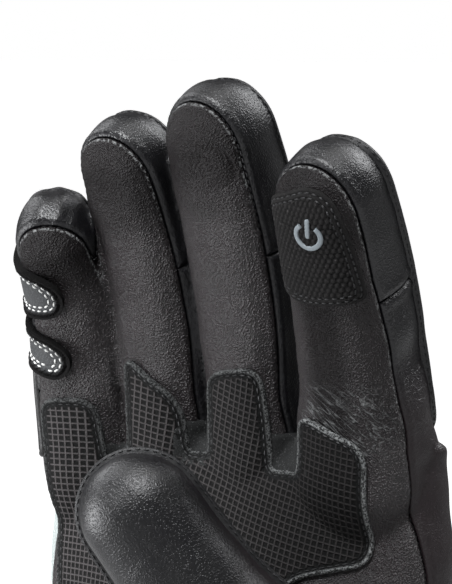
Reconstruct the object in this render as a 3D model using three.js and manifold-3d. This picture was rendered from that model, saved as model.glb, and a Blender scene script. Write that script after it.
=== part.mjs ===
// A right-hand leather touring glove in its worn shape, fingers up and gently curled, thumb across the palm.
// Millimetres. +Z runs from the cuff opening to the fingertips, the palm faces -Y and the thumb side is +X.
// The origin is the centre of the cuff opening, where the hand goes in.
import * as THREE from "three";
import { mergeVertices } from "three/addons/utils/BufferGeometryUtils.js";
import Module from "manifold-3d";

const wasm = await Module();
wasm.setup();

// Driving dimensions
const LEATHER = 1.6; // thickness of every leather panel
const PATCH = 1.2; // thickness of a patch sewn on top
const GAP = 0.3; // clear line between neighbouring panels
const WRIST_Z = 76; // the hand's panels end and the cuff begins
const FINGER_ROOT_Z = 160; // finger tubes start inside the hand
const SEAM_ANGLE = 54; // palm and back seams, measured round the finger from its palm or back line
const CUFF_BINDING = 9; // height of the folded band at the cuff's edge
const ROUNDNESS = 2.4; // exponent of the boxy oval that each section is

// Facets of the outer and the inner faces
const OUTER_FACETS = { finger: 12, hand: 24, domeLatitudes: [0.36, 0.72] };
const INNER_FACETS = { finger: 8, hand: 14, domeLatitudes: [0.55] };

// Where along a finger its widths and depths, its curl and its palm seam are given, as shares of its length
const WIDTH_STATIONS = [0, 0.14, 0.3, 0.55, 0.8, 1];
const CURL_STATIONS = [0, 0.45, 0.75, 1];
const SEAM_STATIONS = [0.1, 0.55, 0.8];
const STEPS = [0, 0.14, 0.3, 0.5, 0.73, 0.87, 1];
const TIP_BAND_FROM = 0.73; // the fingertip bands are joined to the side walls here

// One row for each finger: foot of its axis, sideways lean, turn about its axis, axis length up to the
// fingertip's centre, length of the rounded tip, forward curl, half widths, half depths, how far the palm
// panel reaches over the tip, and the palm seam's angle on the thumb's side at its stations
const FINGERS = [
  {
    name: "little", x: -35.9, y: -3, lean: 3, roll: 14, length: 76, tip: 12, curl: [3, 12, 27, 40],
    width: [6, 10.3, 11.4, 11.9, 10.5, 9.5], depth: [8, 12, 12, 11.8, 11.4, 10.6],
    palmTip: 57, thumbSideSeam: [45, 48, 58],
  },
  {
    name: "ring", x: -11.4, y: 0, lean: -0.6, roll: -8, length: 94, tip: 12.5, curl: [3, 12, 24, 33],
    width: [8, 11, 11, 11.6, 11.3, 11], depth: [10, 13.6, 13, 12.6, 12, 11],
    palmTip: 65, thumbSideSeam: [57, 61, 61],
  },
  {
    name: "middle", x: 11.6, y: 0, lean: 0.7, roll: -12, length: 100.5, tip: 14.2, curl: [3, 12, 24, 30],
    width: [8, 11.8, 11.6, 12.6, 12.8, 12.2], depth: [10, 14, 13.5, 13.4, 13, 12],
    palmTip: 68, thumbSideSeam: [56, 60, 61],
  },
  {
    name: "index", x: 39.2, y: -3, lean: 2.5, roll: -12, length: 88, tip: 13.5, curl: [4, 14, 26, 32],
    width: [10, 15.4, 15.2, 13.5, 13, 12.1], depth: [10, 15, 14.6, 14, 13.6, 12.6],
    palmTip: 66, thumbSideSeam: [78, 70, 63],
  },
];

// The thumb's axis from inside the hand to its tip's centre, with its half width and half depth
const THUMB = [
  { x: 25, y: 1, z: 90, width: 11, depth: 11 },
  { x: 37, y: -13, z: 110, width: 17, depth: 16.5 },
  { x: 33, y: -31, z: 130, width: 16, depth: 15.5 },
  { x: 17, y: -42, z: 149.5, width: 14.8, depth: 14.5 },
  { x: 3.5, y: -48, z: 169.5, width: 14, depth: 13.2 },
];
const THUMB_TIP = 14.5; // length of its rounded tip
const THUMB_JOIN = 0.27; // share of its axis where the ring seam round its root lies
const THUMB_PULP = new THREE.Vector3(-0.4, 0.9, 0); // the way the thumb's inner face looks
const THUMB_SEAM = 88; // where its two seams run, in degrees from the line of its inner face
const THUMB_SEAM_GAP = 1.6; // degrees between its two halves

// The hand from the wrist to the webs between the fingers: level, left and right edge, front and back face,
// and the Y of the front and back seam on each side. Where the two seams meet, that side has no side panel.
const HAND = [
  { z: 76, left: -36, right: 37, front: -24, back: 21, leftSeams: [-1.5, 0.5], rightSeams: [2, 2] },
  { z: 90, left: -38.5, right: 39, front: -25, back: 20, leftSeams: [-2.5, 1.5], rightSeams: [2, 2] },
  { z: 106, left: -42.5, right: 45, front: -26, back: 18, leftSeams: [-4, 3], rightSeams: [3, 3] },
  { z: 124, left: -45.5, right: 53, front: -24, back: 16.5, leftSeams: [-5.5, 4], rightSeams: [-1, 6] },
  { z: 140, left: -46.5, right: 58, front: -21, back: 16, leftSeams: [-7, 4.5], rightSeams: [-6, 8] },
  { z: 156, left: -46.5, right: 60, front: -18.5, back: 15.5, leftSeams: [-8.5, 5], rightSeams: [-8, 9] },
  { z: 168, left: -45, right: 58.5, front: -16.5, back: 14.5, leftSeams: [-9.5, 5.5], rightSeams: [-9, 10] },
  { z: 177, left: -43, right: 58.2, front: -14, back: 14, leftSeams: [-10, 5.5], rightSeams: [-11, 9] },
  { z: 183, left: -39, right: 57.4, front: -9.5, back: 12, leftSeams: [-10, 5.5], rightSeams: [-12.5, 8] },
];
const CORE = 20; // half width of the core of the hand, where only its front and back are cut
const FLANK = 11; // depth of the hand's two flanks, where the seams run
const SEAM_TOP_Z = 173; // above this level the fingers' own seams take over
// The webs between the fingers
const WEB = { top: 185, left: -25, right: 34, frontSeamY: -9, backSeamY: 6 };
const REACH = 1.5; // how far a finger's cutting space reaches from its axis, in radii
const THUMB_REACH = 1.3; // the same for the thumb, whose bend is tighter
const FAR = 90; // further out than any point of the glove from its middle
const TIP_CAP = 0.04; // size of the last small ring of a rounded tip, as a share of the tube's section

// The gauntlet cuff's half width and half depth from its opening up to the wrist
const CUFF = [
  { z: 0, width: 50, depth: 37 },
  { z: 24, width: 46, depth: 33.5 },
  { z: 48, width: 41, depth: 28 },
  { z: 66, width: 38, depth: 24 },
  { z: 76, width: 36.5, depth: 22.5 },
];
const CUFF_TOP_Y = -1.5; // the wrist's centre lies a little towards the palm
const STRAP = { low: 78, high: 96, from: -128, to: 118, lift: 0.5, thickness: 2.2 };

// The grip patch seen from the front: a tab on the root of each finger, and the field across the palm
const GRIP_TABS = [
  { left: -41.5, right: -26.5, topLeft: 192, topRight: 192.5 },
  { left: -18.5, right: -4.5, topLeft: 204, topRight: 193 },
  { left: 3.5, right: 18.5, topLeft: 200, topRight: 202 },
  { left: 29, right: 47.5, topLeft: 192, topRight: 184.5 },
];
const GRIP_NOTCH_Z = [177, 180, 177];
const GRIP_FOOT = { left: -38, right: 24, low: 118, shoulder: 156, shoulderRight: 46 };
const CORNER = 4.5;

// The touch patch on the index fingertip, seen along its palm line, from the fingertip's centre
const TOUCH = { left: -11, topRight: 9, footRight: 12.5, top: 7, bottom: -19.5, corner: 9, footCorner: 2.5 };

// The two stitched tabs that wrap the outer side of the little finger. Each starts with a round end on the
// palm side and widens as it goes round; its outline is drawn square to the tabs' own facing direction.
const SIDE_TAB = { endHeight: 8, farHeight: 12, reach: 26 };
const SIDE_TABS = [
  { name: "side_tab_upper", endZ: 215.9, endAcross: 9, slope: -18 },
  { name: "side_tab_lower", endZ: 200.9, endAcross: 9.6, slope: -22 },
];
const SIDE_TAB_FACING = -25; // from the front towards the little finger's side

// The strip down the outer edge of the hand below them, with a round lower end, and the level where the side
// of the little finger ends and the fabric side of the hand begins
const EDGE_STRIP = { top: 199, bottom: 176.5, width: 8, x: -37, y: -8, facing: -62, lean: -3 };
const HAND_SIDE_TOP_Z = 193;

const radians = THREE.MathUtils.degToRad;
const vector = (x, y, z) => new THREE.Vector3(x, y, z);

// A value read from a short table: stations and values, with a straight run between stations
function between(stations, values, at) {
  const last = stations.length - 1;
  if (at <= stations[0]) return values[0];
  if (at >= stations[last]) return values[last];
  const i = stations.findIndex((s, k) => k < last && at <= stations[k + 1]);
  const share = (at - stations[i]) / (stations[i + 1] - stations[i]);
  return values[i] + share * (values[i + 1] - values[i]);
}

// Solids and geometries
function solidOf(geometry) {
  const bare = geometry.index ? geometry.toNonIndexed() : geometry.clone();
  const positions = new THREE.BufferGeometry().setAttribute("position", bare.getAttribute("position"));
  const merged = mergeVertices(positions, 1e-4);
  const mesh = new wasm.Mesh({
    numProp: 3,
    vertProperties: merged.attributes.position.array,
    triVerts: new Uint32Array(merged.index.array),
  });
  return new wasm.Manifold(mesh);
}

function geometryOf(solid) {
  const mesh = solid.getMesh();
  const geometry = new THREE.BufferGeometry();
  geometry.setAttribute("position", new THREE.BufferAttribute(mesh.vertProperties, 3));
  geometry.setIndex(new THREE.BufferAttribute(mesh.triVerts, 1));
  geometry.computeVertexNormals();
  return geometry;
}

const joined = (solids) => solids.reduce((sum, next) => sum.add(next));

// Only the largest body of a solid: cuts can leave crumbs at a corner
function mainBody(solid) {
  return solid.decompose().reduce((a, b) => (b.volume() > a.volume() ? b : a));
}

// A geometry of points and the faces between them
function indexed(points, faces) {
  const numbers = points.flatMap((p) => [p.x, p.y, p.z]);
  const geometry = new THREE.BufferGeometry();
  geometry.setAttribute("position", new THREE.Float32BufferAttribute(numbers, 3));
  geometry.setIndex(faces);
  return geometry;
}

// A closed solid through rings of points that run the same way round, each end closed by a fan
function loft(rings) {
  const around = rings[0].length;
  const points = rings.flat();
  const centre = (ring) => ring.reduce((sum, p) => sum.add(p), vector(0, 0, 0)).divideScalar(around);
  const first = points.push(centre(rings[0])) - 1;
  const last = points.push(centre(rings.at(-1))) - 1;
  const faces = [];
  for (let i = 0; i < around; i++) {
    const j = (i + 1) % around;
    faces.push(first, j, i);
    for (let r = 0; r < rings.length - 1; r++) {
      const low = r * around;
      const high = low + around;
      faces.push(low + i, low + j, high + j, low + i, high + j, high + i);
    }
    const top = (rings.length - 1) * around;
    faces.push(last, top + i, top + j);
  }
  const solid = solidOf(indexed(points, faces));
  if (solid.volume() > 0) return solid;
  return loft(rings.map((ring) => [...ring].reverse()));
}

// The frames along a finger's axis: place, direction, side and palm directions, half width and half depth
function fingerFrames(finger) {
  const lean = radians(finger.lean);
  const roll = radians(finger.roll);
  const direction = (share) => {
    const curl = radians(between(CURL_STATIONS, finger.curl, share));
    const level = Math.cos(curl);
    return vector(Math.sin(lean) * level, -Math.sin(curl), Math.cos(lean) * level).normalize();
  };
  const place = vector(finger.x, finger.y, FINGER_ROOT_Z);
  return STEPS.map((share, i) => {
    if (i > 0) {
      const middle = (share + STEPS[i - 1]) / 2;
      place.addScaledVector(direction(middle), (share - STEPS[i - 1]) * finger.length);
    }
    const along = direction(share);
    const side = vector(1, 0, 0).addScaledVector(along, -along.x).normalize();
    const palm = vector(0, 0, 0).crossVectors(side, along);
    return {
      share,
      place: place.clone(),
      along,
      side: side.clone().multiplyScalar(Math.cos(roll)).addScaledVector(palm, -Math.sin(roll)),
      palm: palm.clone().multiplyScalar(Math.cos(roll)).addScaledVector(side, Math.sin(roll)),
      width: between(WIDTH_STATIONS, finger.width, share),
      depth: between(WIDTH_STATIONS, finger.depth, share),
      tip: finger.tip,
    };
  });
}

function thumbFrames() {
  const curve = new THREE.CatmullRomCurve3(THUMB.map((t) => vector(t.x, t.y, t.z)));
  const stations = THUMB.map((t, i) => i / (THUMB.length - 1));
  return STEPS.map((share) => {
    const along = curve.getTangent(share);
    const palm = THUMB_PULP.clone().addScaledVector(along, -THUMB_PULP.dot(along)).normalize();
    return {
      share,
      place: curve.getPoint(share),
      along,
      side: vector(0, 0, 0).crossVectors(along, palm),
      palm,
      width: between(stations, THUMB.map((t) => t.width), share),
      depth: between(stations, THUMB.map((t) => t.depth), share),
      tip: THUMB_TIP,
    };
  });
}

// A boxy oval of the frame's width and depth, grown by a margin and shrunk by a factor, pushed along the axis
function oval(frame, facets, margin, shrink = 1, push = 0) {
  const ring = [];
  for (let i = 0; i < facets.finger; i++) {
    const angle = (2 * Math.PI * (i + 0.5)) / facets.finger;
    const c = Math.cos(angle);
    const s = Math.sin(angle);
    const reach = (Math.abs(c) ** ROUNDNESS + Math.abs(s) ** ROUNDNESS) ** (-1 / ROUNDNESS) * shrink;
    ring.push(
      frame.place
        .clone()
        .addScaledVector(frame.palm, c * reach * (frame.depth + margin))
        .addScaledVector(frame.side, s * reach * (frame.width + margin))
        .addScaledVector(frame.along, push),
    );
  }
  return ring;
}

// A finger with its rounded tip, grown by a margin, from a share of its length upwards
function fingerTube(frames, margin, from = 0) {
  const facets = margin < 0 ? INNER_FACETS : OUTER_FACETS;
  const rings = frames.filter((f) => f.share >= from).map((f) => oval(f, facets, margin));
  const end = frames.at(-1);
  for (const latitude of facets.domeLatitudes) {
    const angle = (latitude * Math.PI) / 2;
    rings.push(oval(end, facets, margin, Math.cos(angle), Math.sin(angle) * (end.tip + margin)));
  }
  rings.push(oval(end, facets, margin, TIP_CAP, end.tip + margin));
  return loft(rings);
}

// A wedge from the finger's axis outwards, between two angles measured from its palm or back line
function wedgeSection(frame, facing, low, high, reach, push = 0) {
  const section = [frame.place.clone().addScaledVector(frame.along, push)];
  const arcs = 8;
  for (let i = 0; i <= arcs; i++) {
    const angle = radians(low + ((high - low) * i) / arcs);
    section.push(
      frame.place
        .clone()
        .addScaledVector(frame.palm, facing * Math.cos(angle) * reach)
        .addScaledVector(frame.side, Math.sin(angle) * reach)
        .addScaledVector(frame.along, push),
    );
  }
  return section;
}

// The space that a finger's palm panel (facing 1) or back panel (facing -1) fills: a wedge along the axis and
// a half cone over the fingertip. Its seams are moved outwards by a margin.
function panelSpace(frames, facing, seams, tipAngle, margin) {
  const end = frames.at(-1);
  const reach = REACH * Math.max(end.width, end.depth, end.tip);
  const spread = THREE.MathUtils.radToDeg(margin / end.width);
  const sections = frames.map((f) => {
    const [low, high] = seams(f.share);
    return wedgeSection(f, facing, low - spread, high + spread, REACH * Math.max(f.width, f.depth));
  });
  const [low, high] = seams(1);
  sections.push(wedgeSection(end, facing, low - spread, high + spread, reach, GAP));
  const wedge = loft(sections);

  const corners = [end.place, end.place.clone().addScaledVector(end.palm, facing * reach)];
  const turns = 10;
  for (let i = 0; i <= turns; i++) {
    const turn = (Math.PI * i) / turns;
    const lift = Math.sin(turn) ** 2;
    const side = Math.cos(turn) > 0 ? high : -low;
    const angle = radians((side + spread) * (1 - lift) + (tipAngle + spread) * lift);
    corners.push(
      end.place
        .clone()
        .addScaledVector(end.palm, facing * Math.cos(angle) * reach)
        .addScaledVector(end.side, Math.cos(turn) * Math.sin(angle) * reach)
        .addScaledVector(end.along, Math.sin(turn) * Math.sin(angle) * reach),
    );
  }
  const faces = [0, 2, 1, 0, 1, corners.length - 1];
  for (let i = 2; i < corners.length - 1; i++) faces.push(1, i, i + 1, 0, i + 1, i);
  const cone = solidOf(indexed(corners, facing > 0 ? faces : faces.reverse()));
  return wedge.add(cone).intersect(fingerTube(frames, GAP));
}

// The hand's level section, grown by a margin
function handSection(row, margin, z = row.z) {
  const ring = [];
  const middle = (row.left + row.right) / 2;
  const width = (row.right - row.left) / 2 + margin;
  const facets = margin < 0 ? INNER_FACETS : OUTER_FACETS;
  for (let i = 0; i < facets.hand; i++) {
    const angle = (2 * Math.PI * i) / facets.hand;
    const c = Math.cos(angle);
    const s = Math.sin(angle);
    const reach = (Math.abs(c) ** ROUNDNESS + Math.abs(s) ** ROUNDNESS) ** (-1 / ROUNDNESS);
    const depth = s < 0 ? margin - row.front : row.back + margin;
    ring.push(vector(middle + c * reach * width, s * reach * depth, z));
  }
  return ring;
}

function handBody(margin) {
  const top = HAND.at(-1);
  const rows = HAND.map((row) => handSection(row, margin, row === top ? row.z + margin : row.z));
  if (margin < 0) rows.unshift(handSection(HAND[0], margin, HAND[0].z - 10));
  return loft(rows);
}

// The hand's edges at any level, read between the table's rows
function rowAt(z) {
  const zs = HAND.map((row) => row.z);
  const read = (key) => between(zs, HAND.map((row) => row[key]), z);
  return { left: read("left"), right: read("right"), front: read("front"), back: read("back") };
}

// The space in front of the hand's front seams (facing 1) or behind its back seams (facing -1). Low down the
// whole core of the hand is in front or behind. Beside the webs the seams run on between the fingers.
function handSpace(facing, margin) {
  const column = facing > 0 ? 0 : 1;
  const zs = HAND.map((row) => row.z);
  const inner = zs.filter((z) => z > HAND[0].z && z < SEAM_TOP_Z);
  const seamY = (side, z) => between(zs, HAND.map((row) => row[side][column]), z) + facing * margin;
  const section = (z, left, right, middleY) => [
    vector(-FAR, seamY("leftSeams", z), z),
    vector(rowAt(z).left + FLANK, seamY("leftSeams", z), z),
    vector(left, middleY, z),
    vector(right, middleY, z),
    vector(rowAt(z).right - FLANK, seamY("rightSeams", z), z),
    vector(FAR, seamY("rightSeams", z), z),
    vector(FAR, -facing * FAR, z),
    vector(-FAR, -facing * FAR, z),
  ];
  const below = [HAND[0].z - 5, ...inner, SEAM_TOP_Z + margin].map((z) => section(z, -CORE, CORE, 0));
  const webSeam = (facing > 0 ? WEB.frontSeamY : WEB.backSeamY) + facing * margin;
  const above = [SEAM_TOP_Z - 1, WEB.top + margin].map((z) => section(z, WEB.left, WEB.right, webSeam));
  return loft(below).add(loft(above));
}

// A flat slab across a finger's side walls, where the tip band is joined on
function joinSlab(frames, share) {
  const at = frames.find((f) => f.share >= share);
  return loft([oval(at, OUTER_FACETS, GAP, 1, -GAP / 2), oval(at, OUTER_FACETS, GAP, 1, GAP / 2)]);
}

// An outline drawn in the plane square to a facing direction and pushed through everything on that side
function prism(outline, origin, across, up, facing, depth) {
  const geometry = new THREE.ExtrudeGeometry(outline, { depth, bevelEnabled: false, curveSegments: 4 });
  geometry.applyMatrix4(new THREE.Matrix4().makeBasis(across, up, facing).setPosition(origin));
  return solidOf(geometry);
}

// A polygon whose corners are rounded, each by its own radius
function roundedOutline(corners) {
  const shape = new THREE.Shape();
  corners.forEach((corner, i) => {
    const before = corners[(i + corners.length - 1) % corners.length];
    const after = corners[(i + 1) % corners.length];
    const here = new THREE.Vector2(corner.x, corner.y);
    const back = new THREE.Vector2(before.x, before.y).sub(here);
    const on = new THREE.Vector2(after.x, after.y).sub(here);
    const reach = Math.min(corner.r, back.length() / 2, on.length() / 2);
    const start = here.clone().addScaledVector(back.normalize(), reach);
    const end = here.clone().addScaledVector(on.normalize(), reach);
    if (i === 0) shape.moveTo(start.x, start.y);
    else shape.lineTo(start.x, start.y);
    shape.quadraticCurveTo(here.x, here.y, end.x, end.y);
  });
  shape.closePath();
  return shape;
}

// The glove's outer and inner forms
const fingerRows = FINGERS.map((finger) => ({ finger, frames: fingerFrames(finger) }));
const thumb = thumbFrames();
const tubes = [...fingerRows.map((row) => row.frames), thumb];
const form = (margin) => joined([handBody(margin), ...tubes.map((frames) => fingerTube(frames, margin))]);
const shell = form(0).subtract(form(-LEATHER));

const palmSeams = (finger) => (share) => [
  -SEAM_ANGLE,
  between(SEAM_STATIONS, finger.thumbSideSeam, share),
];
const backSeams = () => [-SEAM_ANGLE, SEAM_ANGLE];
const palmSpace = ({ finger, frames }, margin) =>
  panelSpace(frames, 1, palmSeams(finger), finger.palmTip, margin);
const palmSpaces = (margin) =>
  joined([handSpace(1, margin), ...fingerRows.map((row) => palmSpace(row, margin))]);
const backSpaces = (margin) =>
  joined([
    handSpace(-1, margin),
    ...fingerRows.map(({ frames }) => panelSpace(frames, -1, backSeams, SEAM_ANGLE, margin)),
  ]);

// The thumb is cut off first, at the ring seam round its root
const thumbSpace = (margin) => fingerTube(thumb, margin, THUMB_JOIN);
const thumbShell = thumbSpace(0).subtract(form(-LEATHER));
const handShell = shell.subtract(thumbSpace(GAP));
function thumbSplit(spread) {
  const end = thumb.at(-1);
  const beyond = { ...end, place: end.place.clone().addScaledVector(end.along, 2 * end.tip) };
  return loft(
    [...thumb, beyond].map((f) =>
      wedgeSection(f, 1, -THUMB_SEAM - spread, THUMB_SEAM + spread, THUMB_REACH * f.width),
    ),
  );
}

const parts = new Map();
parts.set("thumb_pulp_panel", mainBody(thumbShell.intersect(thumbSplit(0))));
parts.set("thumb_back_panel", mainBody(thumbShell.subtract(thumbSplit(THUMB_SEAM_GAP))));
parts.set("palm_panel", mainBody(handShell.intersect(palmSpaces(0))));
parts.set("back_panel", mainBody(handShell.intersect(backSpaces(0)).subtract(palmSpaces(GAP))));

// What is left between the palm and back panels: tip bands, walls between the fingers and the two outer sides
const outerJoin = loft(
  [-GAP / 2, GAP / 2].map((rise) => {
    const z = HAND_SIDE_TOP_Z + rise;
    const inner = FINGERS[0].x;
    return [vector(-FAR, -FAR, z), vector(inner, -FAR, z), vector(inner, FAR, z), vector(-FAR, FAR, z)];
  }),
);
const joins = joined([outerJoin, ...fingerRows.map(({ frames }) => joinSlab(frames, TIP_BAND_FROM))]);
const walls = handShell.subtract(palmSpaces(GAP)).subtract(backSpaces(GAP)).subtract(joins);
const tipSpaces = fingerRows.map(({ frames }) => fingerTube(frames, GAP, TIP_BAND_FROM));
fingerRows.forEach(({ finger }, i) => {
  parts.set(finger.name + "_tip_band", mainBody(walls.intersect(tipSpaces[i])));
});
const middleX = (solid) => (solid.boundingBox().min[0] + solid.boundingBox().max[0]) / 2;
const CRUMB = 60; // cubic millimetres: smaller bodies are offcuts
const lowerWalls = walls
  .subtract(joined(tipSpaces))
  .decompose()
  .filter((solid) => solid.volume() > CRUMB)
  .sort((a, b) => middleX(a) - middleX(b));
const outerWalls = lowerWalls.splice(0, 2).sort((a, b) => b.boundingBox().max[2] - a.boundingBox().max[2]);
parts.set("little_side_panel", outerWalls[0]);
parts.set("hand_side_panel", outerWalls[1]);
const WALL_NAMES = [
  "little_ring_fourchette",
  "ring_middle_fourchette",
  "middle_index_fourchette",
  "index_side_panel",
];
lowerWalls.forEach((solid, i) => parts.set(WALL_NAMES[i], solid));

// Patches lie on the leather: the space between two grown forms, cut to an outline that is pushed this far
const PUSH = 60;
const NARROW_PUSH = 30;
const underPatch = form(GAP);
const patchSpace = form(GAP + PATCH).subtract(underPatch);

function gripOutline() {
  const corners = [];
  GRIP_TABS.forEach((tab, i) => {
    corners.push({ x: tab.left, y: tab.topLeft, r: CORNER }, { x: tab.right, y: tab.topRight, r: CORNER });
    if (i < GRIP_NOTCH_Z.length) {
      const next = GRIP_TABS[i + 1];
      corners.push({ x: tab.right + 1, y: GRIP_NOTCH_Z[i], r: CORNER / 2 });
      corners.push({ x: next.left - 1, y: GRIP_NOTCH_Z[i], r: CORNER / 2 });
    }
  });
  corners.push({ x: GRIP_FOOT.shoulderRight, y: GRIP_FOOT.shoulder, r: CORNER });
  corners.push({ x: GRIP_FOOT.right, y: GRIP_FOOT.shoulder - CORNER, r: 2 * CORNER });
  corners.push({ x: GRIP_FOOT.right - 2 * CORNER, y: GRIP_FOOT.low, r: 2 * CORNER });
  corners.push({ x: GRIP_FOOT.left, y: GRIP_FOOT.low, r: 2 * CORNER });
  corners.push({ x: GRIP_TABS[0].left + 1, y: FINGER_ROOT_Z, r: CORNER });
  return corners.reverse();
}
const gripPrism = prism(
  roundedOutline(gripOutline()),
  vector(0, 0, 0),
  vector(1, 0, 0),
  vector(0, 0, 1),
  vector(0, -1, 0),
  PUSH,
);
const thumbClearance = thumbSpace(PATCH + 2 * GAP);
parts.set("grip_patch", mainBody(patchSpace.intersect(gripPrism).subtract(thumbClearance)));

const index = fingerRows.at(-1).frames;
const touchFrame = index.at(-1);
const touchOutline = roundedOutline([
  { x: TOUCH.left, y: TOUCH.bottom, r: TOUCH.footCorner },
  { x: TOUCH.footRight, y: TOUCH.bottom, r: TOUCH.footCorner },
  { x: TOUCH.topRight, y: TOUCH.top, r: TOUCH.corner },
  { x: TOUCH.left, y: TOUCH.top, r: TOUCH.corner },
]);
const touchPrism = prism(
  touchOutline,
  touchFrame.place,
  touchFrame.side,
  touchFrame.along,
  touchFrame.palm,
  NARROW_PUSH,
);
const indexPatchSpace = patchSpace.intersect(fingerTube(index, GAP + PATCH));
parts.set("touch_patch", mainBody(indexPatchSpace.intersect(touchPrism)));

// A tab wrapped round the outer side: its outline is drawn from a point, with its length along the slope
function wrappedTab(outline, origin, facingDegrees, slopeDegrees) {
  const facing = radians(facingDegrees);
  const slope = radians(slopeDegrees);
  const outward = vector(Math.sin(facing), -Math.cos(facing), 0);
  const level = vector(Math.cos(facing), Math.sin(facing), 0);
  const along = level.multiplyScalar(Math.cos(slope)).add(vector(0, 0, Math.sin(slope)));
  const up = vector(0, 0, 0).crossVectors(outward, along);
  const space = prism(outline, origin, along, up, outward, NARROW_PUSH);
  return mainBody(patchSpace.intersect(space).subtract(gripPrism));
}

const sideTabOutline = roundedOutline([
  { x: -SIDE_TAB.reach, y: -SIDE_TAB.farHeight / 2, r: 1 },
  { x: 0, y: -SIDE_TAB.endHeight / 2, r: SIDE_TAB.endHeight / 2 },
  { x: 0, y: SIDE_TAB.endHeight / 2, r: SIDE_TAB.endHeight / 2 },
  { x: -SIDE_TAB.reach, y: SIDE_TAB.farHeight / 2, r: 1 },
]);
const little = fingerRows[0].frames;
for (const tab of SIDE_TABS) {
  const facing = radians(SIDE_TAB_FACING);
  const foot = little.find((f) => f.place.z >= tab.endZ - SIDE_TAB.endHeight).place;
  const origin = foot.clone().setZ(tab.endZ);
  origin.add(vector(Math.cos(facing), Math.sin(facing), 0).multiplyScalar(tab.endAcross));
  parts.set(tab.name, wrappedTab(sideTabOutline, origin, SIDE_TAB_FACING, tab.slope));
}
const half = EDGE_STRIP.width / 2;
const stripOutline = roundedOutline([
  { x: -half, y: EDGE_STRIP.bottom - EDGE_STRIP.top, r: half },
  { x: half, y: EDGE_STRIP.bottom - EDGE_STRIP.top, r: half },
  { x: half, y: 0, r: 1 },
  { x: -half, y: 0, r: 1 },
]);
const stripTop = vector(EDGE_STRIP.x, EDGE_STRIP.y, EDGE_STRIP.top);
parts.set("edge_strip", wrappedTab(stripOutline, stripTop, EDGE_STRIP.facing, EDGE_STRIP.lean));

// The cuff, its folded edge and the wrist strap
function cuffForm(margin, low, high) {
  const zs = CUFF.map((row) => row.z);
  const levels = [low, ...zs.filter((z) => z > low && z < high), high];
  return loft(
    levels.map((z) => {
      const width = between(zs, CUFF.map((row) => row.width), z);
      const depth = between(zs, CUFF.map((row) => row.depth), z);
      const y = (CUFF_TOP_Y * z) / WRIST_Z;
      const ring = handSection({ left: -width, right: width, front: -depth, back: depth }, margin, z);
      return ring.map((p) => p.add(vector(0, y, 0)));
    }),
  );
}
const cuffWall = (low, high, margin, thickness) =>
  cuffForm(margin, low, high).subtract(cuffForm(margin - thickness, low - 1, high + 1));
parts.set("cuff", cuffWall(CUFF_BINDING + GAP, WRIST_Z - GAP, 0, LEATHER));
parts.set("cuff_binding", cuffWall(0, CUFF_BINDING, 1, LEATHER + 2));

function strapSolid() {
  const rows = HAND.map((row) => row.z).filter((z) => z > STRAP.low && z < STRAP.high);
  const levels = [STRAP.low, ...rows, STRAP.high];
  const band = (margin) => loft(levels.map((z) => handSection(rowAt(z), margin, z)));
  const sweep = wedgeRing(STRAP.from, STRAP.to);
  return mainBody(band(STRAP.lift + STRAP.thickness).subtract(form(STRAP.lift)).intersect(sweep));
}

// An upright wedge round the wrist between two directions, measured from the front towards the thumb side
function wedgeRing(from, to) {
  const arcs = 12;
  const section = (z) => {
    const ring = [vector(0, 0, z)];
    for (let i = 0; i <= arcs; i++) {
      const angle = radians(from + ((to - from) * i) / arcs);
      ring.push(vector(Math.sin(angle) * FAR, -Math.cos(angle) * FAR, z));
    }
    return ring;
  };
  return loft([section(STRAP.low - 5), section(STRAP.high + 5)]);
}
parts.set("wrist_strap", strapSolid());

// Finishes, and the pieces that aren't glossy leather
const FINISHES = {
  gloss: { color: 0x141416, roughness: 0.38, metalness: 0 },
  matte: { color: 0x2b2828, roughness: 0.75, metalness: 0 },
  grid: { color: 0x242222, roughness: 0.85, metalness: 0 },
  knit: { color: 0x1f1d1e, roughness: 0.8, metalness: 0 },
  tab: { color: 0x242425, roughness: 0.6, metalness: 0 },
  fabric: { color: 0x6b716f, roughness: 0.9, metalness: 0 },
};
const FINISH_OF = {
  palm_panel: "matte",
  thumb_pulp_panel: "matte",
  grip_patch: "grid",
  touch_patch: "knit",
  side_tab_upper: "tab",
  side_tab_lower: "tab",
  edge_strip: "tab",
  hand_side_panel: "fabric",
};

const glove = new THREE.Group();
for (const [name, solid] of parts) {
  const finish = FINISHES[FINISH_OF[name] ?? "gloss"];
  const mesh = new THREE.Mesh(geometryOf(solid), new THREE.MeshStandardMaterial(finish));
  mesh.name = name;
  glove.add(mesh);
}

export default glove;
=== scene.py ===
"""A right-hand leather touring glove in its worn shape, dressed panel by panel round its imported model."""

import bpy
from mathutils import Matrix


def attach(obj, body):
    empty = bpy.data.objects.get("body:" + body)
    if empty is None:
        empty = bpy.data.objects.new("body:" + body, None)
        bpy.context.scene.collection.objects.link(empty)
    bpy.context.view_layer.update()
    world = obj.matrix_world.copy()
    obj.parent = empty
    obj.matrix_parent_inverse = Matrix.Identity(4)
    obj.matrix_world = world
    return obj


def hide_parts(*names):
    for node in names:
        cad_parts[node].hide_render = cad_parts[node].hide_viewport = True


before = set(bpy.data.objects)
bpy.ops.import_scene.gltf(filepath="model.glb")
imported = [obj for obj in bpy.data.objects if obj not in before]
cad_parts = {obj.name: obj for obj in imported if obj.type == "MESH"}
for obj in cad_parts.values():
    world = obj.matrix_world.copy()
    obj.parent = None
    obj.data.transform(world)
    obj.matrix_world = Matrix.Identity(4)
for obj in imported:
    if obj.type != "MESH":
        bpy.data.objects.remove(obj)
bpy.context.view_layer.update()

import copy
import itertools
import math

import bpy
import numpy as np
from mathutils import Vector
from mathutils.bvhtree import BVHTree
from mathutils.kdtree import KDTree

bl_info = {
    "name": "Touring glove",
    "version": (1, 0, 0),
    "blender": (4, 5, 0),
    "location": "View3D > Sidebar > Glove",
    "description": "Builds a leather touring glove, panel by panel, round its packed model",
    "category": "Add Mesh",
}

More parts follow.
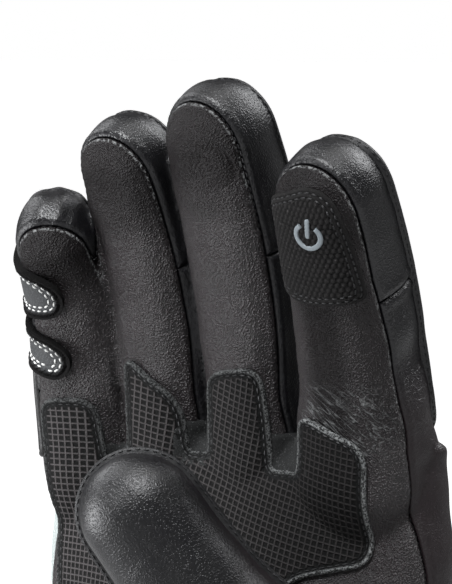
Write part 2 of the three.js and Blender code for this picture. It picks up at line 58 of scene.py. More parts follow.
MM = 0.001

# The glove's form, in millimetres and degrees, as its solids have it

WRIST_Z = 76
FINGER_ROOT_Z = 160
ROUNDNESS = 2.4  # of every section: 2 is an oval, and more is boxier
SEAM_ANGLE = 54  # from a finger's palm line to its seam, and from its back line to the other
WIDTH_STATIONS = [0, 0.14, 0.3, 0.55, 0.8, 1]  # shares of a finger's length
CURL_STATIONS = [0, 0.45, 0.75, 1]
SEAM_STATIONS = [0.1, 0.55, 0.8]
TIP_BAND_FROM = 0.73
FINGERS = [
    dict(name="little", x=-35.9, y=-3, lean=3, roll=14, length=76, tip=12, curl=[3, 12, 27, 40],
         width=[6, 10.3, 11.4, 11.9, 10.5, 9.5], depth=[8, 12, 12, 11.8, 11.4, 10.6],
         palm_tip=57, thumb_side=[45, 48, 58]),
    dict(name="ring", x=-11.4, y=0, lean=-0.6, roll=-8, length=94, tip=12.5, curl=[3, 12, 24, 33],
         width=[8, 11, 11, 11.6, 11.3, 11], depth=[10, 13.6, 13, 12.6, 12, 11],
         palm_tip=65, thumb_side=[57, 61, 61]),
    dict(name="middle", x=11.6, y=0, lean=0.7, roll=-12, length=100.5, tip=14.2, curl=[3, 12, 24, 30],
         width=[8, 11.8, 11.6, 12.6, 12.8, 12.2], depth=[10, 14, 13.5, 13.4, 13, 12],
         palm_tip=68, thumb_side=[56, 60, 61]),
    dict(name="index", x=39.2, y=-3, lean=2.5, roll=-12, length=88, tip=13.5, curl=[4, 14, 26, 32],
         width=[10, 15.4, 15.2, 13.5, 13, 12.1], depth=[10, 15, 14.6, 14, 13.6, 12.6],
         palm_tip=66, thumb_side=[78, 70, 63]),
]
THUMB = np.array([  # x, y, z, width, depth
    (25, 1, 90, 11, 11),
    (37, -13, 110, 17, 16.5),
    (33, -31, 130, 16, 15.5),
    (17, -42, 149.5, 14.8, 14.5),
    (3.5, -48, 169.5, 14, 13.2),
], float)
THUMB_TIP = 14.5
THUMB_JOIN = 0.27  # share of the thumb's length where the hand's leather ends
THUMB_PULP = (-0.4, 0.9, 0)  # the way that the thumb's pulp faces
THUMB_SEAM = 88
HAND_COLUMNS = ["z", "left", "right", "front", "back", "left_front", "left_back", "right_front", "right_back"]
HAND = np.array([
    (66, -36, 37, -24, 21, -1.5, 0.5, 2, 2),
    (76, -36, 37, -24, 21, -1.5, 0.5, 2, 2),
    (90, -38.5, 39, -25, 20, -2.5, 1.5, 2, 2),
    (106, -42.5, 45, -26, 18, -4, 3, 3, 3),
    (124, -45.5, 53, -24, 16.5, -5.5, 4, -1, 6),
    (140, -46.5, 58, -21, 16, -7, 4.5, -6, 8),
    (156, -46.5, 60, -18.5, 15.5, -8.5, 5, -8, 9),
    (168, -45, 58.5, -16.5, 14.5, -9.5, 5.5, -9, 10),
    (177, -43, 58.2, -14, 14, -10, 5.5, -11, 9),
    (183, -39, 57.4, -9.5, 12, -10, 5.5, -12.5, 8),
], float)
FLANK = 11  # how far round the hand's side a seam keeps its side level
WEB = dict(left=-25, right=34, front_seam=-9, back_seam=6)
PALM_CORE_Z = (150, 174)  # where the seams begin to follow the webs, and where they do fully
FINGER_SEAM_Z = (181, 195)  # where the hand's seams begin to pass into the fingers' own, and have passed
FINGER_BLEND = 1.2  # how softly neighbouring fingers share a seam
HAND_SIDE_TOP_Z = 193
CUFF_COLUMNS = ["z", "width", "depth"]
CUFF = np.array([(0, 50, 37), (24, 46, 33.5), (48, 41, 28), (66, 38, 24), (76, 36.5, 22.5)], float)
CUFF_TOP_Y = -1.5
CUFF_BINDING = 9

# How finely the leather is made

GRAIN_STEP = 0.88
AXIS_STEPS = 81
SMOOTHING_ROUNDS = 14
SMOOTHING = (0.6, -0.62)  # shares by which a round first sinks and then swells the form
SMOOTHING_END = (0.6, -0.5)  # the same in the last three rounds
SEAM_SLIT = 0.1  # half width of the slit between two panels
SEAM_LOOPS = [0.35, 0.75, 1.3, 2.1]  # loops of edges beside each seam


# Tables and plain geometry

def smooth(stations, values, at):
    """A smooth curve through the rows of a short table."""
    x = np.asarray(stations, float)
    y = np.asarray(values, float)
    slopes = np.gradient(y, x)
    at = np.clip(at, x[0], x[-1])
    i = np.clip(np.searchsorted(x, at) - 1, 0, len(x) - 2)
    h = x[i + 1] - x[i]
    t = (at - x[i]) / h
    return (
        (2 * t**3 - 3 * t**2 + 1) * y[i]
        + (t**3 - 2 * t**2 + t) * h * slopes[i]
        + (3 * t**2 - 2 * t**3) * y[i + 1]
        + (t**3 - t**2) * h * slopes[i + 1]
    )


def ease(low, high, at):
    """From 0 at low to 1 at high, smoothly."""
    t = np.clip((np.asarray(at, float) - low) / (high - low), 0, 1)
    return t * t * (3 - 2 * t)


def unit(vectors):
    """The same directions with length 1."""
    return vectors / np.maximum(np.linalg.norm(vectors, axis=-1, keepdims=True), 1e-9)


def dot(a, b):
    return (a * b).sum(-1)


def column(table, names, name, z):
    """One column of a table, read smoothly at any level. Levels are in the first column."""
    return smooth(table[:, 0], table[:, names.index(name)], z)


def soft_noise(points, size, seed):
    """Smooth noise from -1 to 1 with bumps of a size in millimetres."""
    cells = 32
    lattice = np.random.default_rng(seed).uniform(-1, 1, (cells, cells, cells))
    q = np.asarray(points, float) / size
    corner = np.floor(q).astype(int)
    f = q - corner
    f = f * f * (3 - 2 * f)
    total = np.zeros(len(q))
    for step in itertools.product((0, 1), repeat=3):
        x, y, z = ((corner + step) % cells).T
        total += np.where(step, f, 1 - f).prod(1) * lattice[x, y, z]
    return total


def ring_triangles(rings, closed=False):
    """Triangles between rings of points in turn, and where closed also from the last ring to the first."""
    around = len(rings[0])
    k = np.arange(around)
    on = (k + 1) % around
    made = []
    for i in range(len(rings) if closed else len(rings) - 1):
        a, b = i * around, (i + 1) % len(rings) * around
        made += [np.stack([a + k, a + on, b + on], 1), np.stack([a + k, b + on, b + k], 1)]
    return made


def closed_loft(rings):
    """Points and triangles of a closed solid through rings of points, each end closed by a fan."""
    around = len(rings[0])
    points = np.concatenate([*rings, [rings[0].mean(0)], [rings[-1].mean(0)]])
    i = np.arange(around)
    j = (i + 1) % around
    top = (len(rings) - 1) * around
    first_hub = np.full(around, top + around)
    fans = [np.stack([j, i, first_hub], 1), np.stack([top + i, top + j, first_hub + 1], 1)]
    return points, np.concatenate(ring_triangles(rings) + fans)


def closed_band(rings):
    """Points and triangles of a band through rings of points that ends where it began."""
    return np.concatenate(rings), np.concatenate(ring_triangles(rings, closed=True))


def boxy(across, up):
    """How far out a place lies on a boxy section: 1 on the section itself."""
    return (abs(across) ** ROUNDNESS + abs(up) ** ROUNDNESS) ** (1 / ROUNDNESS)


class Tube:
    """A finger or the thumb: frames along its axis, and the distance and angle of points round it."""

    def __init__(self, place, along, side, palm, width, depth, tip):
        self.share = np.linspace(0, 1, len(place))
        self.place = place
        self.along = along
        self.side = side
        self.palm = palm
        self.width = width
        self.depth = depth
        self.tip = tip
        self.length = np.linalg.norm(np.diff(place, axis=0), axis=1).sum()

    def rings(self, around=44, dome_rings=10):
        """Rings of points along the tube and over its rounded tip."""
        angle = 2 * np.pi * (np.arange(around) + 0.5) / around
        c, s = np.cos(angle), np.sin(angle)
        reach = (abs(c) ** ROUNDNESS + abs(s) ** ROUNDNESS) ** (-1 / ROUNDNESS)
        rings = []
        stations = [(i, 1, 0) for i in range(0, len(self.place), 2)]
        for latitude in np.linspace(0, np.pi / 2, dome_rings + 1)[1:]:
            stations.append((-1, max(math.cos(latitude), 0.02), math.sin(latitude) * self.tip))
        for i, shrink, push in stations:
            rings.append(
                self.place[i]
                + np.outer(c * reach * self.depth[i] * shrink, self.palm[i])
                + np.outer(s * reach * self.width[i] * shrink, self.side[i])
                + self.along[i] * push
            )
        return rings

    def at(self, values, share):
        """One of the tube's own lists, read at any share of its length."""
        values = np.asarray(values, float)
        if values.ndim == 1:
            return np.interp(share, self.share, values)
        return np.stack([np.interp(share, self.share, v) for v in values.T], 1)

    def locate(self, points):
        """Where each point lies: its share of the length, its offsets to the palm (p), to the side (q) and
        beyond the tip's centre, and its distance from the tube's surface."""
        nearest = np.zeros(len(points), int)
        best = np.full(len(points), np.inf)
        for i, place in enumerate(self.place):
            distance = ((points - place) ** 2).sum(1)
            closer = distance < best
            best[closer] = distance[closer]
            nearest[closer] = i
        share = self.share[nearest] + dot(points - self.place[nearest], self.along[nearest]) / self.length
        share = np.clip(share, 0, 1)
        centre = self.at(self.place, share)
        offset = points - centre
        p = dot(offset, unit(self.at(self.palm, share)))
        q = dot(offset, unit(self.at(self.side, share)))
        beyond = np.maximum(dot(points - self.place[-1], self.along[-1]), 0) * (share >= 0.999)
        width = self.at(self.width, share)
        depth = self.at(self.depth, share)
        scale = np.sqrt(boxy(p / depth, q / width) ** 2 + (beyond / self.tip) ** 2)
        size = np.sqrt(p**2 + q**2 + beyond**2)
        away = size * (1 - 1 / np.maximum(scale, 1e-6))
        return dict(share=share, p=p, q=q, beyond=beyond, size=size, away=away)


def finger_tube(row):
    """The tube of one finger, from its row in the table."""
    share = np.linspace(0, 1, AXIS_STEPS)
    curl = np.radians(smooth(CURL_STATIONS, row["curl"], share))
    lean = math.radians(row["lean"])
    roll = math.radians(row["roll"])
    along = np.stack([math.sin(lean) * np.cos(curl), -np.sin(curl), math.cos(lean) * np.cos(curl)], 1)
    steps = (along[1:] + along[:-1]) / 2 * row["length"] / (AXIS_STEPS - 1)
    start = np.array([row["x"], row["y"], FINGER_ROOT_Z], float)
    place = np.concatenate([[start], start + np.cumsum(steps, 0)])
    level = unit(np.array([1.0, 0, 0]) - along * along[:, :1])
    front = np.cross(level, along)
    side = level * math.cos(roll) - front * math.sin(roll)
    palm = front * math.cos(roll) + level * math.sin(roll)
    width = smooth(WIDTH_STATIONS, row["width"], share)
    depth = smooth(WIDTH_STATIONS, row["depth"], share)
    return Tube(place, along, side, palm, width, depth, row["tip"])


def thumb_tube():
    """The thumb's tube, along a smooth curve through its table."""
    stations = np.linspace(0, 1, len(THUMB))
    share = np.linspace(0, 1, AXIS_STEPS)
    x, y, z, width, depth = (smooth(stations, values, share) for values in THUMB.T)
    place = np.stack([x, y, z], 1)
    along = unit(np.gradient(place, axis=0))
    pulp = np.array(THUMB_PULP, float)
    palm = unit(pulp - along * (along @ pulp)[:, None])
    side = np.cross(along, palm)
    return Tube(place, along, side, palm, width, depth, THUMB_TIP)


def hand_row(z):
    """Left, right, front and back of the hand at each level."""
    return [column(HAND, HAND_COLUMNS, name, z) for name in ("left", "right", "front", "back")]


def boxy_ring(middle, width, front, back, z, around=96):
    """A level boxy oval whose front and back have their own depths."""
    angle = 2 * np.pi * np.arange(around) / around
    c, s = np.cos(angle), np.sin(angle)
    reach = (abs(c) ** ROUNDNESS + abs(s) ** ROUNDNESS) ** (-1 / ROUNDNESS)
    y = np.where(s < 0, s * reach * front, s * reach * back)
    return np.stack([middle + c * reach * width, y, np.full(around, z)], 1)


def hand_rings():
    """Rings of points round the hand, from the wrist to the fingers' roots."""
    rings = []
    for z in np.append(np.arange(HAND[0, 0], HAND[-1, 0], 2.5), HAND[-1, 0]):
        left, right, front, back = (float(v) for v in hand_row(z))
        rings.append(boxy_ring((left + right) / 2, (right - left) / 2, -front, back, z))
    return rings


def hand_distance(points):
    """Distance of points from the hand's surface, without fingers and thumb."""
    x, y, z = points.T
    left, right, front, back = hand_row(z)
    middle = (left + right) / 2
    half = (right - left) / 2
    depth = np.where(y < 0, -front, back)
    scale = boxy((x - middle) / half, y / depth)
    above = np.maximum(z - HAND[-1, 0], 0)
    return np.hypot(x - middle, y) * (1 - 1 / np.maximum(scale, 1e-6)) + above


FINGER_TUBES = [finger_tube(row) for row in FINGERS]
THUMB_TUBE = thumb_tube()


# Seam fields: distances in millimetres along the leather, positive inside a panel

def tube_panel(found, facing, high_side, low_side, tip_angle):
    """How far inside a finger's palm (facing 1) or back (facing -1) panel each located point is."""
    p = found["p"] * facing
    q = found["q"]
    limit = np.where(q > 0, high_side, low_side)
    turn = np.arctan2(found["beyond"], q)
    lift = np.sin(turn) ** 2
    limit = np.radians(limit * (1 - lift) + tip_angle * lift)
    angle = np.arccos(np.clip(p / np.maximum(found["size"], 1e-6), -1, 1))
    return found["size"] * (limit - angle)


def seam_fields(points):
    """All the fields that the leather is cut by, one row for each point."""
    x, y, z = points.T
    found = [tube.locate(points) for tube in FINGER_TUBES]
    away = np.stack([f["away"] for f in found], 1)
    weight = np.exp(-np.clip(away - away.min(1, keepdims=True), 0, 40) / FINGER_BLEND)
    weight /= weight.sum(1, keepdims=True)
    palm = np.zeros(len(points))
    back = np.zeros(len(points))
    for i, (row, f) in enumerate(zip(FINGERS, found)):
        high = np.interp(f["share"], SEAM_STATIONS, row["thumb_side"])
        palm += weight[:, i] * tube_panel(f, 1, high, SEAM_ANGLE, row["palm_tip"])
        back += weight[:, i] * tube_panel(f, -1, SEAM_ANGLE, SEAM_ANGLE, SEAM_ANGLE)
    left, right = hand_row(z)[:2]
    core = ease(*PALM_CORE_Z, z)
    seams = {}
    for face in ("front", "back"):
        low = column(HAND, HAND_COLUMNS, "left_" + face, z)
        high = column(HAND, HAND_COLUMNS, "right_" + face, z)
        middle = core * WEB[face + "_seam"]
        inner_left = np.maximum(left + FLANK + 1, WEB["left"])
        inner_right = np.minimum(right - FLANK - 1, WEB["right"])
        to_left = ease(0, 1, (x - left - FLANK) / (inner_left - left - FLANK))
        to_right = ease(0, 1, (right - FLANK - x) / (right - FLANK - inner_right))
        seams[face] = low * (1 - to_left) + high * (1 - to_right) + middle * (to_left + to_right - 1)
    above = ease(*FINGER_SEAM_Z, z)
    palm = palm * above + (seams["front"] - y) * (1 - above)
    back = back * above + (y - seams["back"]) * (1 - above)
    nearest = away.argmin(1)
    pick = np.arange(len(points))
    share = np.stack([f["share"] for f in found], 1)[pick, nearest]
    side = np.stack([f["q"] for f in found], 1)[pick, nearest]
    lengths = np.array([t.length for t in FINGER_TUBES])[nearest]
    tip_join = (share - TIP_BAND_FROM) * lengths
    thumb = THUMB_TUBE.locate(points)
    body = np.minimum(hand_distance(points), away.min(1))
    root = np.minimum((thumb["share"] - THUMB_JOIN) * THUMB_TUBE.length, (body - thumb["away"]) * 0.8)
    pulp = tube_panel(thumb, 1, THUMB_SEAM, THUMB_SEAM, THUMB_SEAM)
    return dict(
        palm=palm, back=back, tip_join=tip_join, level=z - HAND_SIDE_TOP_Z, wrist=z - WRIST_Z - 0.3,
        root=root, pulp=pulp, finger=nearest.astype(float), side=side, share=share,
    )


# A surface of triangles with values at its points, and how it is cut, split and closed

class Surface:
    """Triangles whose points carry a place, a normal and named values."""

    def __init__(self, data, names, triangles):
        self.data = data
        self.names = names
        self.triangles = triangles

    @property
    def points(self):
        return self.data[:, 0:3]

    @property
    def normals(self):
        return unit(self.data[:, 3:6])

    def place_of(self, name):
        return 6 + self.names.index(name)

    def value(self, name):
        return self.data[:, self.place_of(name)]

    def middle(self, name):
        """A value at the middle of each triangle."""
        return self.value(name)[self.triangles].mean(1)

    def copy(self):
        return Surface(self.data.copy(), list(self.names), self.triangles.copy())

    def tree(self):
        return BVHTree.FromPolygons(self.points.tolist(), self.triangles.tolist())

    def part(self, chosen):
        """The surface of the chosen triangles alone."""
        triangles = self.triangles[chosen]
        used, index = np.unique(triangles, return_inverse=True)
        return Surface(self.data[used].copy(), list(self.names), index.reshape(-1, 3))

    def cut(self, name, level=0.0, snap=0.2):
        """Cuts the triangles along the line where a value has a level. Points near the line move on to it,
        unless an earlier line holds them."""
        locked = self.value("locked") > 0.5
        value = self.value(name) - level
        value[abs(value) < 1e-7] = 0
        tri = self.triangles
        a = tri.ravel()
        b = np.roll(tri, -1, axis=1).ravel()
        crossing = value[a] * value[b] < 0
        a, b = a[crossing], b[crossing]
        if not len(a):
            return
        t = value[a] / (value[a] - value[b])
        near = np.concatenate([a[t < snap], b[t > 1 - snap]])
        far = np.concatenate([b[t < snap], a[t > 1 - snap]])
        short = np.concatenate([t[t < snap], 1 - t[t > 1 - snap]])
        free = ~locked[near]
        near, far, short = near[free], far[free], short[free]
        order = np.argsort(short)
        near, far, short = near[order], far[order], short[order]
        near, first = np.unique(near, return_index=True)
        far, short = far[first], short[first]
        fixed = [self.place_of("locked"), self.place_of("finger")]
        moved = self.data[near] * (1 - short[:, None]) + self.data[far] * short[:, None]
        moved[:, fixed] = self.data[near][:, fixed]
        self.data[near] = moved
        self.data[near, fixed[0]] = 1
        value[near] = 0
        sign = np.sign(value)[tri]
        pairs = [(0, 1), (1, 2), (2, 0)]
        crosses = np.stack([sign[:, i] * sign[:, j] < 0 for i, j in pairs], 1)
        number = crosses.sum(1)
        cut_edges = np.sort(np.concatenate([tri[crosses[:, k]][:, pairs[k]] for k in range(3)]), axis=1)
        if not len(cut_edges):
            return
        edges, inverse = np.unique(cut_edges, axis=0, return_inverse=True)
        inverse = inverse.ravel()
        t = value[edges[:, 0]] / (value[edges[:, 0]] - value[edges[:, 1]])
        fresh = self.data[edges[:, 0]] * (1 - t[:, None]) + self.data[edges[:, 1]] * t[:, None]
        fresh[:, fixed[1]] = self.data[edges[:, 0], fixed[1]]
        fresh[:, fixed[0]] = 1
        start = len(self.data)
        self.data = np.concatenate([self.data, fresh])
        middle = np.full((len(tri), 3), -1)
        at = 0
        for k in range(3):
            amount = crosses[:, k].sum()
            middle[crosses[:, k], k] = start + inverse[at:at + amount]
            at += amount
        made = [tri[number == 0]]

        def turned(chosen, first):
            """The chosen triangles' corners and the cuts between them, each from its first corner on."""
            order = (first[:, None] + (0, 1, 2)) % 3
            sources = (tri[chosen], middle[chosen])
            return [values for source in sources for values in np.take_along_axis(source, order, 1).T]

        one = number == 1
        a, b, c, ab, _, _ = turned(one, crosses[one].argmax(1))
        made += [np.stack([a, ab, c], 1), np.stack([ab, b, c], 1)]
        two = number == 2
        a, b, c, ab, _, ca = turned(two, (crosses[two].argmin(1) + 2) % 3)
        made += [np.stack([a, ab, ca], 1), np.stack([ab, b, c], 1), np.stack([ab, c, ca], 1)]
        self.triangles = np.concatenate(made)

    def split(self, name, loops):
        """The two sides of a seam's slit, each with loops of edges beside it."""
        self.cut(name, SEAM_SLIT)
        self.cut(name, -SEAM_SLIT)
        above = self.part(self.middle(name) > SEAM_SLIT)
        below = self.part(self.middle(name) < -SEAM_SLIT)
        for loop in loops:
            above.cut(name, loop)
            below.cut(name, -loop)
        return above, below

    def rim(self):
        """The open edges, each as its triangle has it."""
        tri = self.triangles
        edges = np.concatenate([tri[:, [0, 1]], tri[:, [1, 2]], tri[:, [2, 0]]])
        keys = np.sort(edges, axis=1)
        _, index, count = np.unique(keys, axis=0, return_index=True, return_counts=True)
        return edges[index[count == 1]]

    def largest(self, least=1):
        """The largest body of triangles that hang together, and those of a least share of its size."""
        label = np.arange(len(self.data))
        tri = self.triangles
        for _ in range(2000):
            low = label[tri].min(1)
            before = label.copy()
            for k in range(3):
                np.minimum.at(label, tri[:, k], low)
            label = label[label]
            if (label == before).all():
                break
        kept = label[tri[:, 0]]
        names, count = np.unique(kept, return_counts=True)
        return self.part(np.isin(kept, names[count >= count.max() * least]))


def vertex_normals(points, triangles):
    """Normals at the points, from the triangles around them."""
    a, b, c = (points[triangles[:, k]] for k in range(3))
    face = np.cross(b - a, c - a)
    total = np.zeros_like(points)
    for k in range(3):
        for axis in range(3):
            total[:, axis] += np.bincount(triangles[:, k], face[:, axis], len(points))
    return unit(total)


def shell(outer, inner, surface):
    """A closed wall between an outer and an inner place of each of the surface's points."""
    tri = surface.triangles
    count = len(outer)
    rim = surface.rim()
    a, b = rim.T
    wall = np.concatenate([np.stack([b, a, a + count], 1), np.stack([b, a + count, b + count], 1)])
    points = np.concatenate([outer, inner])
    return points, np.concatenate([tri, tri[:, ::-1] + count, wall])


def chains(edges):
    """Edges joined into runs of point numbers, the longest run first."""
    edges = [(int(a), int(b)) for a, b in edges]
    following = {}
    for a, b in edges:
        following.setdefault(a, []).append(b)
        following.setdefault(b, []).append(a)
    unused = {frozenset(edge) for edge in edges}
    runs = []
    ends = [p for p in following if len(following[p]) == 1]
    for start in ends + list(following):
        run = [start]
        while True:
            steps = [n for n in following[run[-1]] if frozenset((run[-1], n)) in unused]
            if not steps:
                break
            unused.discard(frozenset((run[-1], steps[0])))
            run.append(steps[0])
        if len(run) > 1:
            runs.append(run)
    return sorted(runs, key=len, reverse=True)


class Line:
    """A seam's line: evenly spaced points on the leather, with the leather's normal at each."""

    def __init__(self, points, normals, step=0.5, window=5):
        closed = np.linalg.norm(points[0] - points[-1]) < 1e-6
        lengths = np.concatenate([[0], np.cumsum(np.linalg.norm(np.diff(points, axis=0), axis=1))])
        count = max(int(lengths[-1] / step), 4)
        at = np.linspace(0, lengths[-1], count)
        self.points = np.stack([np.interp(at, lengths, v) for v in points.T], 1)
        self.normals = np.stack([np.interp(at, lengths, v) for v in normals.T], 1)
        self.at = at
        for _ in range(window):
            for values in (self.points, self.normals):
                if closed:
                    around = np.concatenate([values[-2:-1], values, values[1:2]])
                    values[:] = (around[:-2] + 2 * values + around[2:]) / 4
                else:
                    values[1:-1] = (values[:-2] + 2 * values[1:-1] + values[2:]) / 4
        self.normals = unit(self.normals)
        self.tangents = unit(np.gradient(self.points, axis=0))
        self.normals = unit(self.normals - self.tangents * dot(self.normals, self.tangents)[:, None])
        self.across = np.cross(self.tangents, self.normals)
        self.length = lengths[-1]


def seam_lines(surface, name, level, shortest=12):
    """The lines on a surface's rim where a value has a level."""
    edges = surface.rim()
    on_line = abs(surface.value(name) - level) < 1e-4
    edges = edges[on_line[edges].all(1)]
    lines = []
    for run in chains(edges):
        line = Line(surface.points[run], surface.normals[run])
        if line.length > shortest:
            lines.append(line)
    return lines


# The whole leather as one smooth surface, cut into its panels

def read_all(items, key, count, kind):
    """One property of all the items of a mesh, a row for each."""
    values = np.empty(len(items) * count, kind)
    items.foreach_get(key, values)
    return values.reshape(-1, count)


def leather_form():
    """The union of the hand, the fingers and the thumb as one smooth closed surface, in millimetres."""
    solids = [closed_loft(hand_rings())]
    solids += [closed_loft(tube.rings()) for tube in [*FINGER_TUBES, THUMB_TUBE]]
    mesh = bpy.data.meshes.new("form")
    points = []
    faces = []
    for p, t in solids:
        faces += (t + len(points)).tolist()
        points += p.tolist()
    mesh.from_pydata(points, [], faces)
    form = placed("form", mesh)
    remesh = form.modifiers.new("union", "REMESH")
    remesh.mode = "VOXEL"
    remesh.voxel_size = GRAIN_STEP
    bpy.context.view_layer.update()
    made = form.evaluated_get(bpy.context.evaluated_depsgraph_get()).to_mesh()
    made.calc_loop_triangles()
    points = read_all(made.vertices, "co", 3, float)
    triangles = read_all(made.loop_triangles, "vertices", 3, int)
    edges = read_all(made.edges, "vertices", 2, int)
    bpy.data.objects.remove(form)
    bpy.data.meshes.remove(mesh)
    ends = np.concatenate([edges, edges[:, ::-1]])
    number = np.bincount(ends[:, 0], minlength=len(points))[:, None]
    for i in range(SMOOTHING_ROUNDS):
        for factor in SMOOTHING if i < SMOOTHING_ROUNDS - 3 else SMOOTHING_END:
            beside = points[ends[:, 1]]
            total = np.stack([np.bincount(ends[:, 0], values, len(points)) for values in beside.T], 1)
            points = points + factor * (total / number - points)
    return points, triangles


BETWEEN_FINGERS = [
    "little_ring_fourchette", "ring_middle_fourchette", "middle_index_fourchette", "index_side_panel",
]
LEATHER = {}  # panels, lines and forms that several operators use


def cut_leather():
    """Cuts the whole form into panels, once."""
    if LEATHER:
        return LEATHER
    points, triangles = leather_form()
    normals = vertex_normals(points, triangles)
    fields = seam_fields(points)
    names = [*fields, "locked"]
    data = np.column_stack([points, normals, *fields.values(), np.zeros(len(points))])
    whole = Surface(data, names, triangles)
    whole.cut("wrist")
    whole = whole.part(whole.middle("wrist") > 0)
    LEATHER["whole"] = whole.copy()
    LEATHER["whole_tree"] = whole.tree()
    thumb, hand = whole.split("root", SEAM_LOOPS)
    LEATHER["hand"] = hand.copy()
    LEATHER["hand_tree"] = hand.tree()
    pulp, thumb_back = thumb.split("pulp", SEAM_LOOPS)
    palm, rest = hand.split("palm", SEAM_LOOPS)
    back, walls = rest.split("back", SEAM_LOOPS)
    tips, lower = walls.split("tip_join", SEAM_LOOPS[:2])
    panels = {
        "thumb_pulp_panel": pulp.largest(),
        "thumb_back_panel": thumb_back.largest(),
        "palm_panel": palm.largest(),
        "back_panel": back.largest(),
    }
    for i, row in enumerate(FINGERS):
        panels[row["name"] + "_tip_band"] = tips.part(tips.middle("finger").round() == i).largest()
    wall = lower.middle("finger").round() + (lower.middle("side") > 0)
    outer = lower.part(wall == 0)
    upper, under = outer.split("level", SEAM_LOOPS[:2])
    panels["little_side_panel"] = upper.largest()
    panels["hand_side_panel"] = under.largest()
    for i, name in enumerate(BETWEEN_FINGERS):
        panels[name] = lower.part(wall == i + 1).largest(least=0.15)
    LEATHER["panels"] = panels
    LEATHER["palm_lines"] = seam_lines(panels["palm_panel"], "palm", SEAM_SLIT)
    LEATHER["back_lines"] = seam_lines(panels["back_panel"], "back", SEAM_SLIT)
    LEATHER["thumb_lines"] = seam_lines(panels["thumb_back_panel"], "pulp", -SEAM_SLIT)
    LEATHER["root_lines"] = seam_lines(hand, "root", -SEAM_SLIT)
    LEATHER["join_lines"] = [
        line
        for row in FINGERS
        for line in seam_lines(panels[row["name"] + "_tip_band"], "tip_join", SEAM_SLIT, shortest=6)
    ]
    return LEATHER


# Placing things on the leather

def drape(origins, directions, name):
    """Where rays meet the whole leather or the hand's, with its smooth normal there, and which rays do."""
    surface, tree = LEATHER[name], LEATHER[name + "_tree"]
    places = np.zeros((len(origins), 3))
    faces = np.zeros(len(origins), int)
    met = np.zeros(len(origins), bool)
    for i, (origin, direction) in enumerate(zip(origins.tolist(), directions.tolist())):
        place, _, face, _ = tree.ray_cast(Vector(origin), Vector(direction))
        if place is not None:
            places[i] = place
            faces[i] = face
            met[i] = True
    corners = surface.triangles[faces]
    a, b, c = (surface.points[corners[:, k]] for k in range(3))
    whole = np.linalg.norm(np.cross(b - a, c - a), axis=1) + 1e-12
    share_a = np.linalg.norm(np.cross(b - places, c - places), axis=1) / whole
    share_b = np.linalg.norm(np.cross(c - places, a - places), axis=1) / whole
    shares = np.stack([share_a, share_b, 1 - share_a - share_b], 1)
    return places, unit((surface.normals[corners] * shares[:, :, None]).sum(1)), met


def rounded_outline(corners, steps=7):
    """A polygon of (x, y, radius) corners with rounded corners, as points."""
    corners = np.array(corners, float)
    points = []
    for before, here, after in zip(np.roll(corners, 1, 0), corners, np.roll(corners, -1, 0)):
        back = before[:2] - here[:2]
        on = after[:2] - here[:2]
        reach = min(here[2], np.linalg.norm(back) / 2, np.linalg.norm(on) / 2)
        start = here[:2] + unit(back) * reach
        end = here[:2] + unit(on) * reach
        for t in np.linspace(0, 1, steps):
            points.append(start * (1 - t) ** 2 + 2 * here[:2] * t * (1 - t) + end * t**2)
    return np.array(points)


FLAT_VALUES = ["u", "v", "edge", "locked", "finger"]
PATCH_MARGIN = 1  # how far a patch's grid goes past its outline
LONGEST_EDGE = 6  # a longer one spans a gap between two parts of the leather


def inside_distance(points, outline):
    """Distance of flat points from an outline, positive inside it."""
    best = np.full(len(points), np.inf)
    inside = np.zeros(len(points), bool)
    for a, b in zip(outline, np.roll(outline, -1, 0)):
        run = b - a
        t = np.clip((points - a) @ run / max(run @ run, 1e-12), 0, 1)
        best = np.minimum(best, np.linalg.norm(points - a - t[:, None] * run, axis=1))
        spans = (a[1] > points[:, 1]) != (b[1] > points[:, 1])
        rise = run[1] if abs(run[1]) > 1e-12 else 1e-12
        inside ^= spans & (points[:, 0] < a[0] + (points[:, 1] - a[1]) / rise * run[0])
    return np.where(inside, best, -best)


def grid_over(outline, step):
    """Points of a flat grid over an outline, and its triangles."""
    low, high = outline.min(0) - PATCH_MARGIN, outline.max(0) + PATCH_MARGIN
    us = np.arange(low[0], high[0] + step / 2, step)
    vs = np.arange(low[1], high[1] + step / 2, step)
    u, v = np.meshgrid(us, vs)
    number = np.arange(u.size).reshape(u.shape)
    a, b, c, d = number[:-1, :-1], number[:-1, 1:], number[1:, 1:], number[1:, :-1]
    triangles = np.stack([[a, b, c], [a, c, d]]).transpose(0, 2, 3, 1).reshape(-1, 3)
    return np.stack([u.ravel(), v.ravel()], 1), triangles


def flat_surface(flat, triangles, places, normals, edge):
    """A surface whose points know their flat places and their distance inside an edge."""
    zeros = np.zeros(len(flat))
    return Surface(np.column_stack([places, normals, flat, edge, zeros, zeros]), FLAT_VALUES, triangles)


def draped_patch(outline, step, rays, loops=(0.2, 0.5, 1.0), name="whole", allowed=None):
    """The patch inside a flat outline, with loops of edges beside its edge. Rays from its flat places carry
    it on to the leather, and it ends where its places and normals there aren't allowed."""
    flat, triangles = grid_over(outline, step)
    kept = inside_distance(flat, outline) > -PATCH_MARGIN
    number = np.cumsum(kept) - 1
    triangles = number[triangles[kept[triangles].all(1)]]
    flat = flat[kept]
    places, normals, met = drape(*rays(flat), name)
    if allowed:
        met &= allowed(places, normals)
    edge = inside_distance(flat, outline)
    surface = flat_surface(flat, triangles[met[triangles].all(1)], places, normals, edge)
    a, b = surface.points[surface.triangles[:, 0]], surface.points[surface.triangles[:, 1]]
    surface = surface.part(np.linalg.norm(a - b, axis=1) < LONGEST_EDGE)
    surface.cut("edge", 0)
    surface = surface.part(surface.middle("edge") > 0)
    for loop in loops:
        surface.cut("edge", loop)
    return surface.largest()


